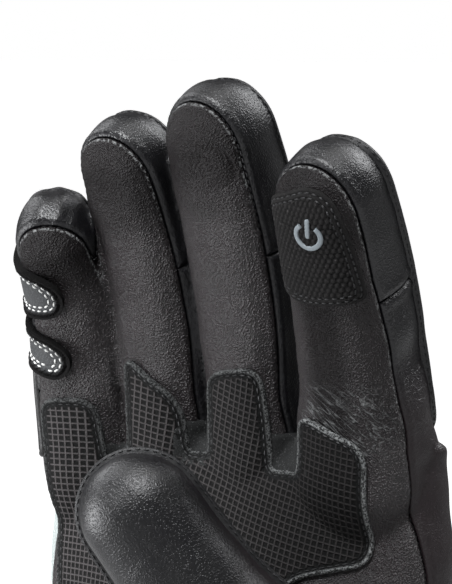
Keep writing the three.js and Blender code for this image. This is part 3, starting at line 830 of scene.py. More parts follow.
def plump(distance, radius):
    """A rounded edge's height share: 0 at the edge and 1 a radius inside it."""
    t = np.clip(1 - distance / radius, 0, 1)
    return np.sqrt(np.clip(1 - t * t, 0, 1))


def line_groove(distance, depth, width):
    """How deep a groove along a line is at a distance from it."""
    return depth * np.exp(-((distance / width) ** 2))


def raised(surface, height, low=0.05):
    """A closed piece between a low height and each point's own height above the leather."""
    outer = surface.points + surface.normals * height[:, None]
    return shell(outer, surface.points + surface.normals * low, surface)


# Blender objects

def placed(name, data):
    """A new object in the scene."""
    thing = bpy.data.objects.new(name, data)
    bpy.context.scene.collection.objects.link(thing)
    return thing


def dressed(name, points, triangles, finish, replaced=(), slot=None, values=None, sharp=50):
    """A mesh piece in its finish, riding on the glove's one body."""
    mesh = bpy.data.meshes.new(name)
    mesh.vertices.add(len(points))
    mesh.vertices.foreach_set("co", (points * MM).astype(np.float32).ravel())
    mesh.loops.add(triangles.size)
    mesh.loops.foreach_set("vertex_index", triangles.astype(np.int32).ravel())
    mesh.polygons.add(len(triangles))
    mesh.polygons.foreach_set("loop_start", np.arange(0, triangles.size, 3, dtype=np.int32))
    mesh.update(calc_edges=True)
    mesh.validate()
    for key, numbers in (values or {}).items():
        attribute = mesh.attributes.new(key, "FLOAT", "POINT")
        attribute.data.foreach_set("value", np.asarray(numbers, np.float32))
    mesh.polygons.foreach_set("use_smooth", np.ones(len(mesh.polygons), bool))
    mesh.set_sharp_from_angle(angle=math.radians(sharp))
    mesh.materials.append(finish)
    piece = placed(name, mesh)
    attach(piece, "root")
    if replaced:
        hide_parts(*replaced)


def threads(centres, tangents, normals, length, radius, sides=4):
    """Points and triangles of short rounded threads, each bowed so that its ends sink in."""
    stations = np.array([-1, -0.8, 0, 0.8, 1])
    sizes = np.array([0.35, 0.85, 1, 0.85, 0.35])
    sink = 0.9
    angle = 2 * np.pi * np.arange(sides) / sides
    across = np.cross(tangents, normals)
    points = []
    for station, size in zip(stations, sizes):
        middle = centres + tangents * station * length / 2 - normals * (radius * sink * station**4)
        for a in angle:
            points.append(middle + (across * math.cos(a) + normals * math.sin(a)) * radius * size)
    count = len(centres)
    points = np.stack(points, 1).reshape(-1, 3)
    per = len(stations) * sides
    triangles = []
    for s in range(len(stations) - 1):
        for k in range(sides):
            a, b = s * sides + k, s * sides + (k + 1) % sides
            triangles += [(a, b, b + sides), (a, b + sides, a + sides)]
    last = (len(stations) - 1) * sides
    for k in range(1, sides - 1):
        triangles += [(0, k + 1, k), (last, last + k, last + k + 1)]
    triangles = np.array(triangles)
    whole = (triangles[None] + (np.arange(count) * per)[:, None, None]).reshape(-1, 3)
    return points, whole


def along_line(line, spacing):
    """Stations for stitches along a line: where each one's middle lies."""
    count = int((line.at[-1] - line.at[0]) / spacing)
    return line.at[0] + spacing * (np.arange(count) + 0.5)


def read_line(line, at):
    """Places, tangents, normals and across directions of a line at some of its stations."""
    read = []
    for values in (line.points, line.tangents, line.normals, line.across):
        read.append(np.stack([np.interp(at, line.at, v) for v in values.T], 1))
    return read[0], unit(read[1]), unit(read[2]), unit(read[3])


def stitched(runs, spacing, length, radius, lift, sides=4):
    """Stitches along some lines, lifted off them along the leather's normal."""
    made = []
    for run in runs:
        centres, tangents, normals, _ = read_line(run, along_line(run, spacing))
        made.append(threads(centres + normals * lift, tangents, normals, length, radius, sides))
    return joined(made)


def joined(pieces):
    """Several (points, triangles) as one."""
    points = []
    triangles = []
    start = 0
    for p, t in pieces:
        points.append(p)
        triangles.append(t + start)
        start += len(p)
    return np.concatenate(points), np.concatenate(triangles)


def swept(line, section, heights):
    """A closed strip: a section of (across, up) points carried along a line."""
    section = np.array(section, float)
    rings = []
    for point, across, normal, height in zip(line.points, line.across, line.normals, heights):
        rings.append(point + np.outer(section[:, 0], across) + np.outer(section[:, 1] * height, normal))
    return closed_loft(rings)


# Sizes and colours that a user would change

def length(name, description, millimetres):
    size = millimetres * MM
    return bpy.props.FloatProperty(
        name=name, description=description, default=size, min=0, subtype="DISTANCE", unit="LENGTH",
    )


def colour(name, description, value):
    return bpy.props.FloatVectorProperty(
        name=name, description=description, default=value, size=3, min=0, max=1, subtype="COLOR",
    )


class GloveSizes(bpy.types.PropertyGroup):
    """Sizes of the leather, seams, threads and patches."""
    leather: length("Leather", "Thickness of every leather panel", 1.6)
    groove: length("Seam groove", "Depth of the groove where two panels meet inside out", 0.85)
    flange: length("Flange height", "How far the outward seams stand off the leather", 1.3)
    small_flange: length("Small flange height", "The same between the fingers and on their backs", 0.6)
    flange_leather: length("Flange leather", "Thickness of each of a flange's two edges", 0.8)
    stitch: length("Stitch", "Length of one stitch", 1.25)
    stitch_spacing: length("Stitch spacing", "From one stitch to the next", 1.9)
    thread: length("Thread", "Half thickness of the sewing thread", 0.17)
    unevenness: length("Unevenness", "How far the worn leather swells and sinks", 0.22)
    patch: length("Patch", "Thickness of the patches", 1.15)
    grid_pitch: length("Grid pitch", "From one line of the grip fabric to the next", 1.5)
    strap: length("Strap", "Thickness of the wrist strap", 2.2)


class GloveColours(bpy.types.PropertyGroup):
    """Colours of the leathers, fabrics and threads."""
    matte: colour("Matte leather", "Palm side leather", (0.0110, 0.0078, 0.0086))
    gloss: colour("Glossy leather", "Back, tips and thumb", (0.0045, 0.0044, 0.0052))
    tab: colour("Tab leather", "Inside of the stitched side tabs", (0.048, 0.050, 0.052))
    welt: colour("Welt", "Rolled border of the side tabs", (0.0055, 0.0053, 0.0053))
    grid_line: colour("Grid line", "Raised lines of the grip fabric", (0.066, 0.061, 0.061))
    grid_hole: colour("Grid ground", "Ground between the lines", (0.0025, 0.0025, 0.0025))
    suede: colour("Patch border", "Rough border of the grip patch", (0.016, 0.0165, 0.0165))
    knit: colour("Touch fabric", "Ribbed fabric of the fingertip patch", (0.0075, 0.007, 0.007))
    symbol: colour("Symbol", "Printed power symbol", (0.20, 0.23, 0.25))
    side: colour("Side fabric", "Grey fabric on the outer side of the hand", (0.50, 0.55, 0.54))
    thread: colour("Thread", "Dark sewing thread", (0.010, 0.010, 0.011))
    white_thread: colour("White thread", "Thread of the side tabs", (0.72, 0.72, 0.70))


def sizes():
    """The glove's sizes in millimetres, by name."""
    group = bpy.context.scene.glove_sizes
    return {key: getattr(group, key) / MM for key in group.__annotations__}


def shade(name, strength=1):
    """One of the glove's colours, so many times as strong."""
    return times(getattr(bpy.context.scene.glove_colours, name), strength)


def times(rgb, strength):
    return (*(min(value * strength, 1) for value in rgb[:3]), 1)


# Materials: shader node groups for shared effects, then one function for each finish

def connect(tree, value, socket):
    """Links a socket to another one, or sets its value."""
    if isinstance(value, bpy.types.NodeSocket):
        tree.links.new(value, socket)
    else:
        socket.default_value = value


class Nodes:
    """Adds nodes to a material or a group and joins them."""

    def __init__(self, tree):
        self.tree = tree

    def add(self, kind, inputs=None, **settings):
        node = self.tree.nodes.new(kind)
        for key, value in settings.items():
            setattr(node, key, value)
        for key, value in (inputs or {}).items():
            connect(self.tree, value, node.inputs[key])
        return node

    def math(self, operation, a, b=0.0, c=0.0):
        return self.add("ShaderNodeMath", {0: a, 1: b, 2: c}, operation=operation).outputs[0]

    def between(self, value, low, high, to_low=0.0, to_high=1.0):
        inputs = {0: value, 1: low, 2: high, 3: to_low, 4: to_high}
        return self.add("ShaderNodeMapRange", inputs, interpolation_type="SMOOTHSTEP").outputs[0]

    def product(self, a, b):
        return self.math("MULTIPLY", a, b)

    def span(self, share, to_low, to_high):
        """Between two values as a share goes from 0 to 1."""
        return self.between(share, 0.0, 1.0, to_low, to_high)

    def mix(self, factor, a, b):
        return self.add("ShaderNodeMix", {0: factor, 6: a, 7: b}, data_type="RGBA").outputs[2]

    def noise(self, place, scale, detail, **more):
        inputs = {"Vector": place, "Scale": scale, "Detail": detail, **more}
        return self.add("ShaderNodeTexNoise", inputs).outputs["Fac"]

    def attribute(self, name):
        return self.add("ShaderNodeAttribute", attribute_name=name).outputs["Fac"]

    def place(self):
        return self.add("ShaderNodeTexCoord").outputs["Object"]

    def group(self, tree, **given):
        """A node group placed with its own values."""
        return self.add("ShaderNodeGroup", given, node_tree=tree).outputs


def node_group(name, inputs, outputs, fill):
    """A shader node group, made once: fill(nodes, its inputs) gives its outputs. A vector has no default."""
    if name in bpy.data.node_groups:
        return bpy.data.node_groups[name]
    group = bpy.data.node_groups.new(name, "ShaderNodeTree")
    for key, default in inputs.items():
        kind = "NodeSocketVector" if default is None else "NodeSocketFloat"
        socket = group.interface.new_socket(name=key, in_out="INPUT", socket_type=kind)
        if default is not None:
            socket.default_value = default
    for key in outputs:
        group.interface.new_socket(name=key, in_out="OUTPUT", socket_type="NodeSocketFloat")
    nodes = Nodes(group)
    made = fill(nodes, nodes.add("NodeGroupInput").outputs)
    nodes.add("NodeGroupOutput", {key: made[key] for key in outputs})
    return group


def grain_group():
    """Leather grain: pebbles of a size, finer pores and slow patches of tone."""
    def fill(n, given):
        inputs = {"Vector": given["Place"], "Scale": given["Pebbles"], "Smoothness": 0.35}
        pebbles = n.add("ShaderNodeTexVoronoi", inputs, feature="SMOOTH_F1").outputs["Distance"]
        fine = n.noise(given["Place"], n.product(given["Pebbles"], 2.6), 3.0)
        patches = n.noise(given["Place"], 95.0, 4.0)
        domes = n.between(pebbles, 0.05, 0.62, 1.0, 0.0)
        height = n.math("MULTIPLY_ADD", fine, 0.55, n.product(domes, 0.6))
        return {
            "Height": height,
            "Pores": n.between(height, 0.4, 0.66),
            "Patches": n.between(patches, 0.35, 0.68),
        }
    return node_group("Leather grain", dict(Place=None, Pebbles=1500.0), ["Height", "Pores", "Patches"], fill)


def seam_shade_and_highlight_group():
    """Painted shade and light along a panel's seams, from the distance to the seam in mm: painted shade in
    the seam's groove, and a broken rub line beside the edge that is partly wear and partly a painted
    highlight on the seam's raised lip.
    """
    def fill(n, given):
        broken = n.between(n.noise(given["Place"], 1300.0, 3.0), 0.44, 0.6)
        seam = given["Seam"]
        lip_rub_and_highlight = n.product(n.between(seam, 0.4, 0.65), n.between(seam, 0.8, 1.4, 1.0, 0.0))
        return {"Rub": n.product(lip_rub_and_highlight, broken), "Shade": n.between(seam, 0.1, 0.5, 1.0, 0.0)}
    return node_group("Seam wear", dict(Place=None, Seam=5.0), ["Rub", "Shade"], fill)


def wrinkle_group():
    """Fine wrinkles round a place, along a tilted direction, fading with distance from the place."""
    def fill(n, given):
        moved = n.add("ShaderNodeVectorMath", {0: given["Place"], 1: given["Centre"]}, operation="SUBTRACT")
        turn = {"Vector": moved.outputs[0], "Angle": given["Tilt"]}
        turned = n.add("ShaderNodeVectorRotate", turn, rotation_type="Y_AXIS")
        stretch = {"Vector": turned.outputs[0], "Scale": (0.1, 0.5, 1.0)}
        stretched = n.add("ShaderNodeMapping", stretch)
        noise = n.noise(stretched.outputs[0], given["Density"], 1.0, Distortion=0.25)
        reach = n.add("ShaderNodeVectorMath", {0: moved.outputs[0]}, operation="LENGTH").outputs["Value"]
        faded = n.math("DIVIDE", reach, given["Reach"])
        folds = n.between(n.math("ABSOLUTE", n.math("SUBTRACT", noise, 0.5)), 0.0, 0.05, 1.0, 0.0)
        return {"Height": n.product(folds, n.between(faded, 0.3, 1.0, 1.0, 0.0))}
    inputs = dict(Place=None, Centre=None, Tilt=0.0, Density=900.0, Reach=0.01)
    return node_group("Fine wrinkles", inputs, ["Height"], fill)


def nap_group():
    """The rough nap of suede, knit and thread: short fibres with light tips."""
    def fill(n, given):
        noise = n.noise(given["Place"], given["Fibres"], 5.0, Roughness=0.7)
        return {"Height": noise, "Tips": n.between(noise, 0.56, 0.72)}
    return node_group("Nap", dict(Place=None, Fibres=1800.0), ["Height", "Tips"], fill)


def finish(name, fill):
    """A material, made once, whose Principled BSDF fill(nodes, shader) sets and feeds."""
    if name in bpy.data.materials:
        return bpy.data.materials[name]
    material = bpy.data.materials.new(name)
    material.use_nodes = True
    fill(Nodes(material.node_tree), material.node_tree.nodes["Principled BSDF"])
    return material


def feed(nodes, shader, **inputs):
    """Sets or links a shader's inputs. Underscores stand for spaces."""
    for key, value in inputs.items():
        connect(nodes.tree, value, shader.inputs[key.replace("_", " ")])


def bumped(nodes, height, millimetres, below=None):
    """A normal from a height from 0 to 1 that stands for a depth in millimetres."""
    given = {"Height": height, "Distance": millimetres * MM}
    if below is not None:
        given["Normal"] = below
    return nodes.add("ShaderNodeBump", given).outputs["Normal"]


PEBBLES = 1900.0  # pebbles of grain per metre
PALM_WRINKLES = [  # centre in mm, tilt in degrees, wrinkles per metre, reach in mm, depth in mm
    ((36, -18, 191.5), -32, 850, 11, 0.3),
    ((44, -18, 190), -42, 850, 13, 0.3),
    ((-19, -14, 200), 8, 800, 7, 0.12),
    ((-35, -22, 229), 78, 420, 12, 0.2),
]
SIDE_WRINKLES = [
    ((54, -7, 196), 62, 620, 20, 0.06),
    ((52, -20, 214), 70, 700, 15, 0.05),
]


def wrinkled(n, place, table, tone, light, normal):
    """A tone and a normal with the wrinkles of a table added: each wrinkle is bumped, and painted lighter
    along its fold as a painted highlight, more so the deeper it is.
    """
    for centre, tilt, density, reach, depth in table:
        centre = tuple(c * MM for c in centre)
        tilt = math.radians(tilt)
        given = dict(Place=place, Centre=centre, Tilt=tilt, Density=density, Reach=reach * MM)
        lines = n.group(wrinkle_group(), **given)
        tone = n.mix(n.product(lines["Height"], 0.85 * min(1, depth / 0.3)), tone, light)
        normal = bumped(n, lines["Height"], depth, normal)
    return tone, normal


def toned(n, factor, key, low, high):
    """A colour between two strengths of one of the glove's colours."""
    return n.mix(factor, shade(key, low), shade(key, high))


def shaded(n, shine, wear):
    """A shine that is lost where painted shade darkens the groove beside a seam."""
    return n.product(shine, n.span(wear["Shade"], 1.0, 0.1))


def matte_leather():
    def fill(n, shader):
        place = n.place()
        grain = n.group(grain_group(), Place=place, Pebbles=PEBBLES)
        wear = n.group(seam_shade_and_highlight_group(), Place=place, Seam=n.attribute("seam"))
        tip = n.attribute("tip")
        tone = toned(n, grain["Patches"], "matte", 0.6, 1.0)
        tone = n.mix(n.product(grain["Pores"], 0.8), tone, shade("matte", 2.7))
        # Painted shade: the tip attribute darkens the fingertip pads and the middle of the index finger's
        # palm side
        tone = n.mix(n.product(tip, 0.7), tone, shade("matte", 0.25))
        # Painted shade in the seam's groove
        tone = n.mix(wear["Shade"], tone, shade("matte", 0.1))
        # Painted highlight on the seam's raised lip, strongest at the fingertips, and partly rub wear, in a
        # light suede colour
        scuff_and_highlight = n.product(wear["Rub"], n.math("MULTIPLY_ADD", tip, 0.75, 0.06))
        tone = n.mix(scuff_and_highlight, tone, shade("suede", 14))
        bumps = bumped(n, grain["Height"], 0.4)
        # Wrinkles with a painted highlight along their folds
        tone, normal = wrinkled(n, place, PALM_WRINKLES, tone, shade("suede", 8), bumps)
        rough = n.span(grain["Patches"], 0.45, 0.38)
        # The painted shade of the tip attribute also takes away shine
        shine = shaded(n, n.math("MULTIPLY_ADD", tip, -0.33, 0.57), wear)
        feed(n, shader, Base_Color=tone, Roughness=rough, Normal=normal, Specular_IOR_Level=shine)
    return finish("Matte leather", fill)


def glossy_leather():
    def fill(n, shader):
        place = n.place()
        grain = n.group(grain_group(), Place=place, Pebbles=PEBBLES)
        wear = n.group(seam_shade_and_highlight_group(), Place=place, Seam=n.attribute("seam"))
        dull = n.attribute("dull")
        tone = toned(n, grain["Patches"], "gloss", 0.8, 1.35)
        # A lighter line beside the seams, partly rub wear and partly painted highlight
        tone = n.mix(n.product(wear["Rub"], 0.3), tone, shade("gloss", 5))
        bumps = bumped(n, grain["Height"], 0.11)
        # Wrinkles with a painted highlight along their folds
        tone, normal = wrinkled(n, place, SIDE_WRINKLES, tone, shade("gloss", 1.8), bumps)
        tone = n.mix(dull, tone, shade("matte", 1.2))
        rough = n.span(grain["Patches"], 0.39, 0.31)
        rough = n.math("MULTIPLY_ADD", n.math("MAXIMUM", wear["Rub"], dull), 0.15, rough)
        # Painted shade beside the seams takes away shine
        shine = shaded(n, n.math("MULTIPLY_ADD", dull, -0.12, 0.5), wear)
        feed(n, shader, Base_Color=tone, Roughness=rough, Normal=normal, Specular_IOR_Level=shine)
    return finish("Glossy leather", fill)


def plain_leather(name, key, rough):
    """A small piece's leather in one of the colours."""
    def fill(n, shader):
        grain = n.group(grain_group(), Place=n.place(), Pebbles=PEBBLES)
        tone = toned(n, grain["Pores"], key, 0.8, 1.35)
        patches = n.span(grain["Patches"], rough + 0.06, rough - 0.05)
        feed(n, shader, Base_Color=tone, Normal=bumped(n, grain["Height"], 0.06), Roughness=patches)
    return finish(name, fill)


def tab_leather():
    """The leather of the side tabs, darker and duller on the welt round their border."""
    def fill(n, shader):
        grain = n.group(grain_group(), Place=n.place(), Pebbles=PEBBLES)
        border = n.attribute("border")
        inside = toned(n, grain["Pores"], "tab", 0.8, 1.3)
        tone = n.mix(border, inside, toned(n, grain["Pores"], "welt", 0.8, 1.5))
        rough = n.span(border, 0.6, 0.9)
        shine = n.span(border, 0.25, 0.1)
        normal = bumped(n, grain["Height"], 0.12)
        feed(n, shader, Base_Color=tone, Roughness=rough, Normal=normal, Specular_IOR_Level=shine)
    return finish("Tab leather", fill)


def grid_group():
    """Crossed lines from a row and a column that grow by 1 from line to line."""
    def fill(n, given):
        lines = []
        for key in ("Row", "Column"):
            across = n.math("ABSOLUTE", n.math("SUBTRACT", n.math("FRACT", given[key]), 0.5))
            lines.append(n.between(across, n.math("SUBTRACT", 0.5, given["Width"]), 0.46))
        return {"Line": n.math("MAXIMUM", *lines)}
    return node_group("Grid lines", dict(Row=0.0, Column=0.0, Width=0.2), ["Line"], fill)


def grid_fabric():
    """A raised grid on black ground, with a sewn band and a rough suede rim beside the patch's edge."""
    def fill(n, shader):
        place = n.place()
        nap = n.group(nap_group(), Place=place, Fibres=2000.0)
        flecks = n.group(nap_group(), Place=place, Fibres=1100.0)
        edge = n.attribute("edge")
        ragged = n.math("MULTIPLY_ADD", n.math("SUBTRACT", nap["Height"], 0.5), 2.4, edge)
        lines = n.group(grid_group(), Row=n.attribute("row"), Column=n.attribute("col"), Width=0.24)
        inside = n.between(edge, GRIP_BORDER - 0.3, GRIP_BORDER + 0.3)
        rim = n.between(ragged, 0.8, 1.3, 1.0, 0.0)
        line = n.product(lines["Line"], inside)
        worn = toned(n, flecks["Height"], "grid_line", 0.4, 1.6)
        # The grid's lines grow darker towards the index finger's side
        worn = n.mix(n.attribute("fade"), worn, shade("grid_line", 0.22))
        grid = n.mix(line, shade("grid_hole"), worn)
        grid = n.mix(n.product(nap["Tips"], 0.14), grid, shade("grid_line", 2))
        fibres = n.between(nap["Height"], 0.44, 0.58)
        frayed = toned(n, fibres, "suede", 0.8, 14)
        suede = n.mix(n.attribute("fray"), toned(n, fibres, "suede", 0.4, 3), frayed)
        band = toned(n, n.product(flecks["Tips"], 0.4), "suede", 0.3, 2)
        tone = n.mix(rim, n.mix(inside, band, grid), suede)
        height = n.math("MULTIPLY_ADD", line, 1.2, n.product(nap["Height"], 0.5))
        feed(n, shader, Base_Color=tone, Normal=bumped(n, height, 0.3))
        feed(n, shader, Roughness=n.span(rim, 0.75, 0.95), Specular_IOR_Level=0.14)
    return finish("Grid fabric", fill)


def touch_fabric():
    """Ribbed knit, dark between its ribs and with light fibres on them."""
    def fill(n, shader):
        nap = n.group(nap_group(), Place=n.place(), Fibres=1900.0)
        rib = n.attribute("line")
        tone = toned(n, rib, "knit", 0.12, 1.9)
        tips = n.product(nap["Tips"], n.between(rib, 0.2, 0.8, 0.15, 1.0))
        tone = n.mix(tips, tone, shade("knit", 7))
        feed(n, shader, Base_Color=tone, Normal=bumped(n, nap["Height"], 0.3), Roughness=0.85)
        feed(n, shader, Specular_IOR_Level=0.2)
    return finish("Touch fabric", fill)


WEAVE_TOP = (0.178, 0.184)  # metres up the glove between which the side's fabric turns black


def side_fabric():
    """A light weave that turns black a little below the little finger's leather."""
    def fill(n, shader):
        place = n.place()
        threads = []
        for direction in ("Z", "Y"):
            inputs = {"Vector": place, "Scale": 900.0, "Distortion": 1.2}
            wave = n.add("ShaderNodeTexWave", inputs, wave_type="BANDS", bands_direction=direction)
            threads.append(wave.outputs["Fac"])
        height = n.product(*threads)
        nap = n.group(nap_group(), Place=place, Fibres=1500.0)
        tone = toned(n, height, "side", 0.62, 1.2)
        tone = n.mix(n.product(nap["Tips"], 0.3), tone, shade("side", 1.6))
        level = n.add("ShaderNodeSeparateXYZ", {"Vector": place}).outputs["Z"]
        tone = n.mix(n.between(level, *WEAVE_TOP), tone, shade("side", 0.02))
        feed(n, shader, Base_Color=tone, Normal=bumped(n, height, 0.12), Roughness=0.85)
    return finish("Side fabric", fill)


def suede():
    def fill(n, shader):
        nap = n.group(nap_group(), Place=n.place(), Fibres=2300.0)
        tone = toned(n, nap["Tips"], "suede", 1.2, 9)
        feed(n, shader, Base_Color=tone, Normal=bumped(n, nap["Height"], 0.3), Roughness=0.95)
        feed(n, shader, Specular_IOR_Level=0.2)
    return finish("Suede", fill)


def fibrous(name, key, fibres, low, high, depth, rough):
    """A thread's or print's finish: one colour between two strengths, over its fibres."""
    def fill(n, shader):
        nap = n.group(nap_group(), Place=n.place(), Fibres=fibres)
        tone = toned(n, nap["Height"], key, low, high)
        feed(n, shader, Base_Color=tone, Normal=bumped(n, nap["Height"], depth), Roughness=rough)
    return finish(name, fill)


def dark_thread():
    return fibrous("Dark thread", "thread", 5200.0, 0.55, 1.3, 0.08, 0.5)


def white_thread():
    return fibrous("White thread", "white_thread", 5200.0, 0.55, 1.3, 0.08, 0.6)


def symbol_print():
    return fibrous("Symbol print", "symbol", 2200.0, 0.7, 1.15, 0.1, 0.55)


# The leather's relief: seams, dents and slow unevenness

SEAM_REACH = 4  # how far beside a seam its stitches pull at the leather
GROOVE_WIDTH = 1.15
STITCH_PULL = 0.38  # share of a groove's depth that is there at its stitches alone
PUCKER = dict(away=1.5, height=0.05, width=0.8)  # small swells between the stitches
SHOULDER = dict(away=1.7, height=0.26, width=0.9)  # the swell along an inward seam
FLANGE_RISE = (0.75, 1.5)  # how high and from how far the leather rises to an outward seam
FLANGE_HOLLOW = dict(away=3, height=0.14, width=1.4)
WRIST_ROUND = (0.5, 1.2)  # how deep and how far in the leather's lower end is rounded
DENTS = [  # finger, share of its length, degrees from its palm line, half length, half width, height
    ("middle", 0.98, 28, 8, 7, -2.6),
    ("middle", 0.9, -18, 4, 8, 0.8),
    ("middle", 0.84, 12, 6, 8, -0.5),
    ("middle", 0.7, 5, 10, 10, -0.3),
    ("index", 0.27, 116, 4, 9, 1.5),
    ("ring", 1.0, 5, 6, 8, -1.0),
    ("ring", 0.92, -12, 4, 8, 0.5),
    ("ring", 0.50, 5, 6, 9, -0.5),
    ("little", 0.95, 10, 6, 7, -0.8),
    ("little", 0.60, 20, 7, 6, -0.5),
    ("index", 0.42, -15, 6, 9, -0.7),
    ("index", 0.22, 10, 6, 12, -0.9),
    ("index", 0.62, 95, 5, 6, 0.7),
    ("index", 0.52, 100, 5, 6, -0.9),
    ("index", 0.38, 95, 6, 6, 0.9),
    ("index", 0.24, 100, 6, 8, -0.7),
]
DENTS += [(row["name"], 0.5, 180, 5, 9, -0.5) for row in FINGERS]
DENTS += [(row["name"], 0.12, 180, 6, 8, rise) for row, rise in zip(FINGERS, [0.8, 0.9, 1.0, 1.0])]
CREASES = [  # from and to in mm, half width in mm, height in mm
    ((10.5, -59, 178.5), (18.5, -62, 167), 0.9, 0.45),
    ((15, -60, 178.5), (23, -60, 167), 3.2, -0.5),
]
DENT_REACH = 8  # how far in and out a dent is felt
TIP_FOLDS = dict(finger="little", spacing=4.2, depth=0.2, tilt=-40, wander=1.6, middle=7, reach=9.5)


def dented(points):
    """How far the dents and the folds on the little fingertip move each point."""
    total = np.zeros(len(points))
    names = [row["name"] for row in FINGERS]
    for name, at, degrees, long, wide, height in DENTS:
        tube = FINGER_TUBES[names.index(name)]
        lists = (tube.place, tube.along, tube.palm, tube.side)
        centre, along, palm, side = (tube.at(values, np.array([at]))[0] for values in lists)
        angle = math.radians(degrees)
        reach = np.interp(at, tube.share, (tube.width + tube.depth) / 2)
        outward = palm * math.cos(angle) + side * math.sin(angle)
        across = side * math.cos(angle) - palm * math.sin(angle)
        offset = points - centre - outward * reach
        away = (offset @ along / long) ** 2 + (offset @ across / wide) ** 2
        total += height * np.exp(-(away + (offset @ outward / DENT_REACH) ** 2))
    for start, end, wide, height in CREASES:
        run = np.subtract(end, start)
        t = np.clip((points - start) @ run / (run @ run), 0, 1)
        away = np.linalg.norm(points - start - t[:, None] * run, axis=1)
        total += height * np.exp(-((away / wide) ** 2)) * ease(0, 0.2, t) * ease(0, 0.2, 1 - t)
    folds = TIP_FOLDS
    tube = FINGER_TUBES[names.index(folds["finger"])]
    offset = points - tube.place[-1]
    tilt = math.radians(folds["tilt"])
    run = offset @ (tube.along[-1] * math.cos(tilt) + tube.side[-1] * math.sin(tilt))
    wander = soft_noise(points, 6, 31) * folds["wander"]
    away = np.linalg.norm(offset - tube.along[-1] * folds["middle"], axis=1)
    near = np.exp(-(away / folds["reach"]) ** 4)
    total += folds["depth"] * near * np.sin((run + wander) * 2 * np.pi / folds["spacing"])
    return total


def station_beside(lines, points):
    """For points near some lines, the length along the line where each lies, otherwise 0."""
    stations = np.zeros(len(points))
    everything = np.concatenate([line.points for line in lines])
    at = np.concatenate([line.at for line in lines])
    tree = KDTree(len(everything))
    for i, place in enumerate(everything):
        tree.insert(place, i)
    tree.balance()
    low = everything.min(0) - SEAM_REACH
    high = everything.max(0) + SEAM_REACH
    for i in np.nonzero(((points > low) & (points < high)).all(1))[0]:
        _, found, distance = tree.find(points[i])
        if distance < SEAM_REACH:
            stations[i] = at[found]
    return stations


def swell(distance, form):
    """The height at a distance from a seam of a swell that runs along it."""
    return line_groove(distance - form["away"], form["height"], form["width"])


def relief(name, panel):
    """Outer heights of a panel above the plain form, and each point's distance to its nearest seam."""
    size = sizes()
    points = panel.points
    on_thumb = name.startswith("thumb")
    inward = ["root"] if on_thumb else ["root", "palm"]
    if "tip_band" in name or "fourchette" in name or "side" in name:
        inward.append("tip_join")
    if name in ("little_side_panel", "hand_side_panel"):
        inward.append("level")
    groove = np.min([abs(panel.value(key)) for key in inward], axis=0)
    fold = abs(panel.value("pulp" if on_thumb else "back"))
    beside = np.nonzero(groove < SEAM_REACH)[0]
    pull = np.ones(len(points))
    lines = LEATHER["root_lines"] if on_thumb else LEATHER["palm_lines"] + LEATHER["root_lines"]
    at = station_beside(lines, points[beside])
    pull[beside] = 0.5 - 0.5 * np.cos(2 * np.pi * at / size["stitch_spacing"])
    share = (1 - STITCH_PULL) + STITCH_PULL * pull
    drop = size["groove"] * (1 - plump(groove, GROOVE_WIDTH)) * share
    pucker = swell(groove, PUCKER) * (1 - 2 * pull) * (groove < SEAM_REACH)
    rise, reach = FLANGE_RISE
    rise = rise * np.clip(1 - fold / reach, 0, 1) ** 2 - swell(fold, FLANGE_HOLLOW)
    slow = size["unevenness"] * (soft_noise(points, 9, 3) + 0.4 * soft_noise(points, 4, 5))
    depth, reach = WRIST_ROUND
    wrist = depth * (1 - plump(panel.value("wrist"), reach))
    heights = swell(groove, SHOULDER) - drop + pucker + rise + slow + dented(points) - wrist
    return heights, np.minimum(groove, fold + 0.4)


# Painted shade on the middle of the index finger's palm side: how dark against the fingertips' painted shade,
# and where it lies
INDEX_PAINTED_SHADE = dict(share=1.2, left=(30, 37), right=(42, 47), right_fall=0.5, low=(183, 189))
TIP_PAINTED_SHADE_FROM = (0.8, 0.96)  # shares of a finger's length over which painted shade sets in on the fingertip pads
# Panels that lose their gloss towards the root, with the field and the span in which they do
DULL_ROOTS = {"thumb_back_panel": ("root", 12, 30), "index_side_panel": ("share", 0.3, 0.6)}
FINISH_OF = {
    "palm_panel": (matte_leather, "matte_leather"),
    "thumb_pulp_panel": (matte_leather, "matte_leather"),
    "hand_side_panel": (side_fabric, "grey_fabric"),
}


def index_painted_shade(points):
    """How far painted shade darkens the middle of the index finger's palm side at each point."""
    d = INDEX_PAINTED_SHADE
    x, _, z = points.T
    fall = 1 - d["right_fall"] * ease(*d["right"], x)
    return d["share"] * ease(*d["left"], x) * fall * ease(*d["low"], z)


def dress_panels(names):
    """Makes the leather pieces of these CAD nodes."""
    leather = cut_leather()
    for name in names:
        panel = leather["panels"][name]
        heights, seam = relief(name, panel)
        points, triangles = raised(panel, heights, -sizes()["leather"])
        # Painted shade on the fingertip pads: tip darkens them in colour and takes away their shine
        tip = ease(*TIP_PAINTED_SHADE_FROM, np.tile(panel.value("share"), 2))
        # The tip value also holds the painted shade on the middle of the index finger's palm side
        worn = {"seam": np.tile(seam, 2), "tip": np.maximum(tip, index_painted_shade(points))}
        if name in DULL_ROOTS:
            key, low, high = DULL_ROOTS[name]
            worn["dull"] = np.tile(1 - ease(low, high, panel.value(key)), 2)
        material, slot = FINISH_OF.get(name, (glossy_leather, "glossy_leather"))
        dressed(name.replace("_panel", "") + "_leather", points, triangles, material(), [name], slot, worn)


class GloveOperator:
    """What every operator of the glove shares."""
    bl_options = {"REGISTER", "UNDO"}


class MESH_OT_glove_palm(GloveOperator, bpy.types.Operator):
    """Add the matte leather palm that runs up the fronts of the fingers"""
    bl_idname = "mesh.glove_palm"
    bl_label = "Palm"

    def execute(self, context):
        dress_panels(["palm_panel"])
        return {"FINISHED"}


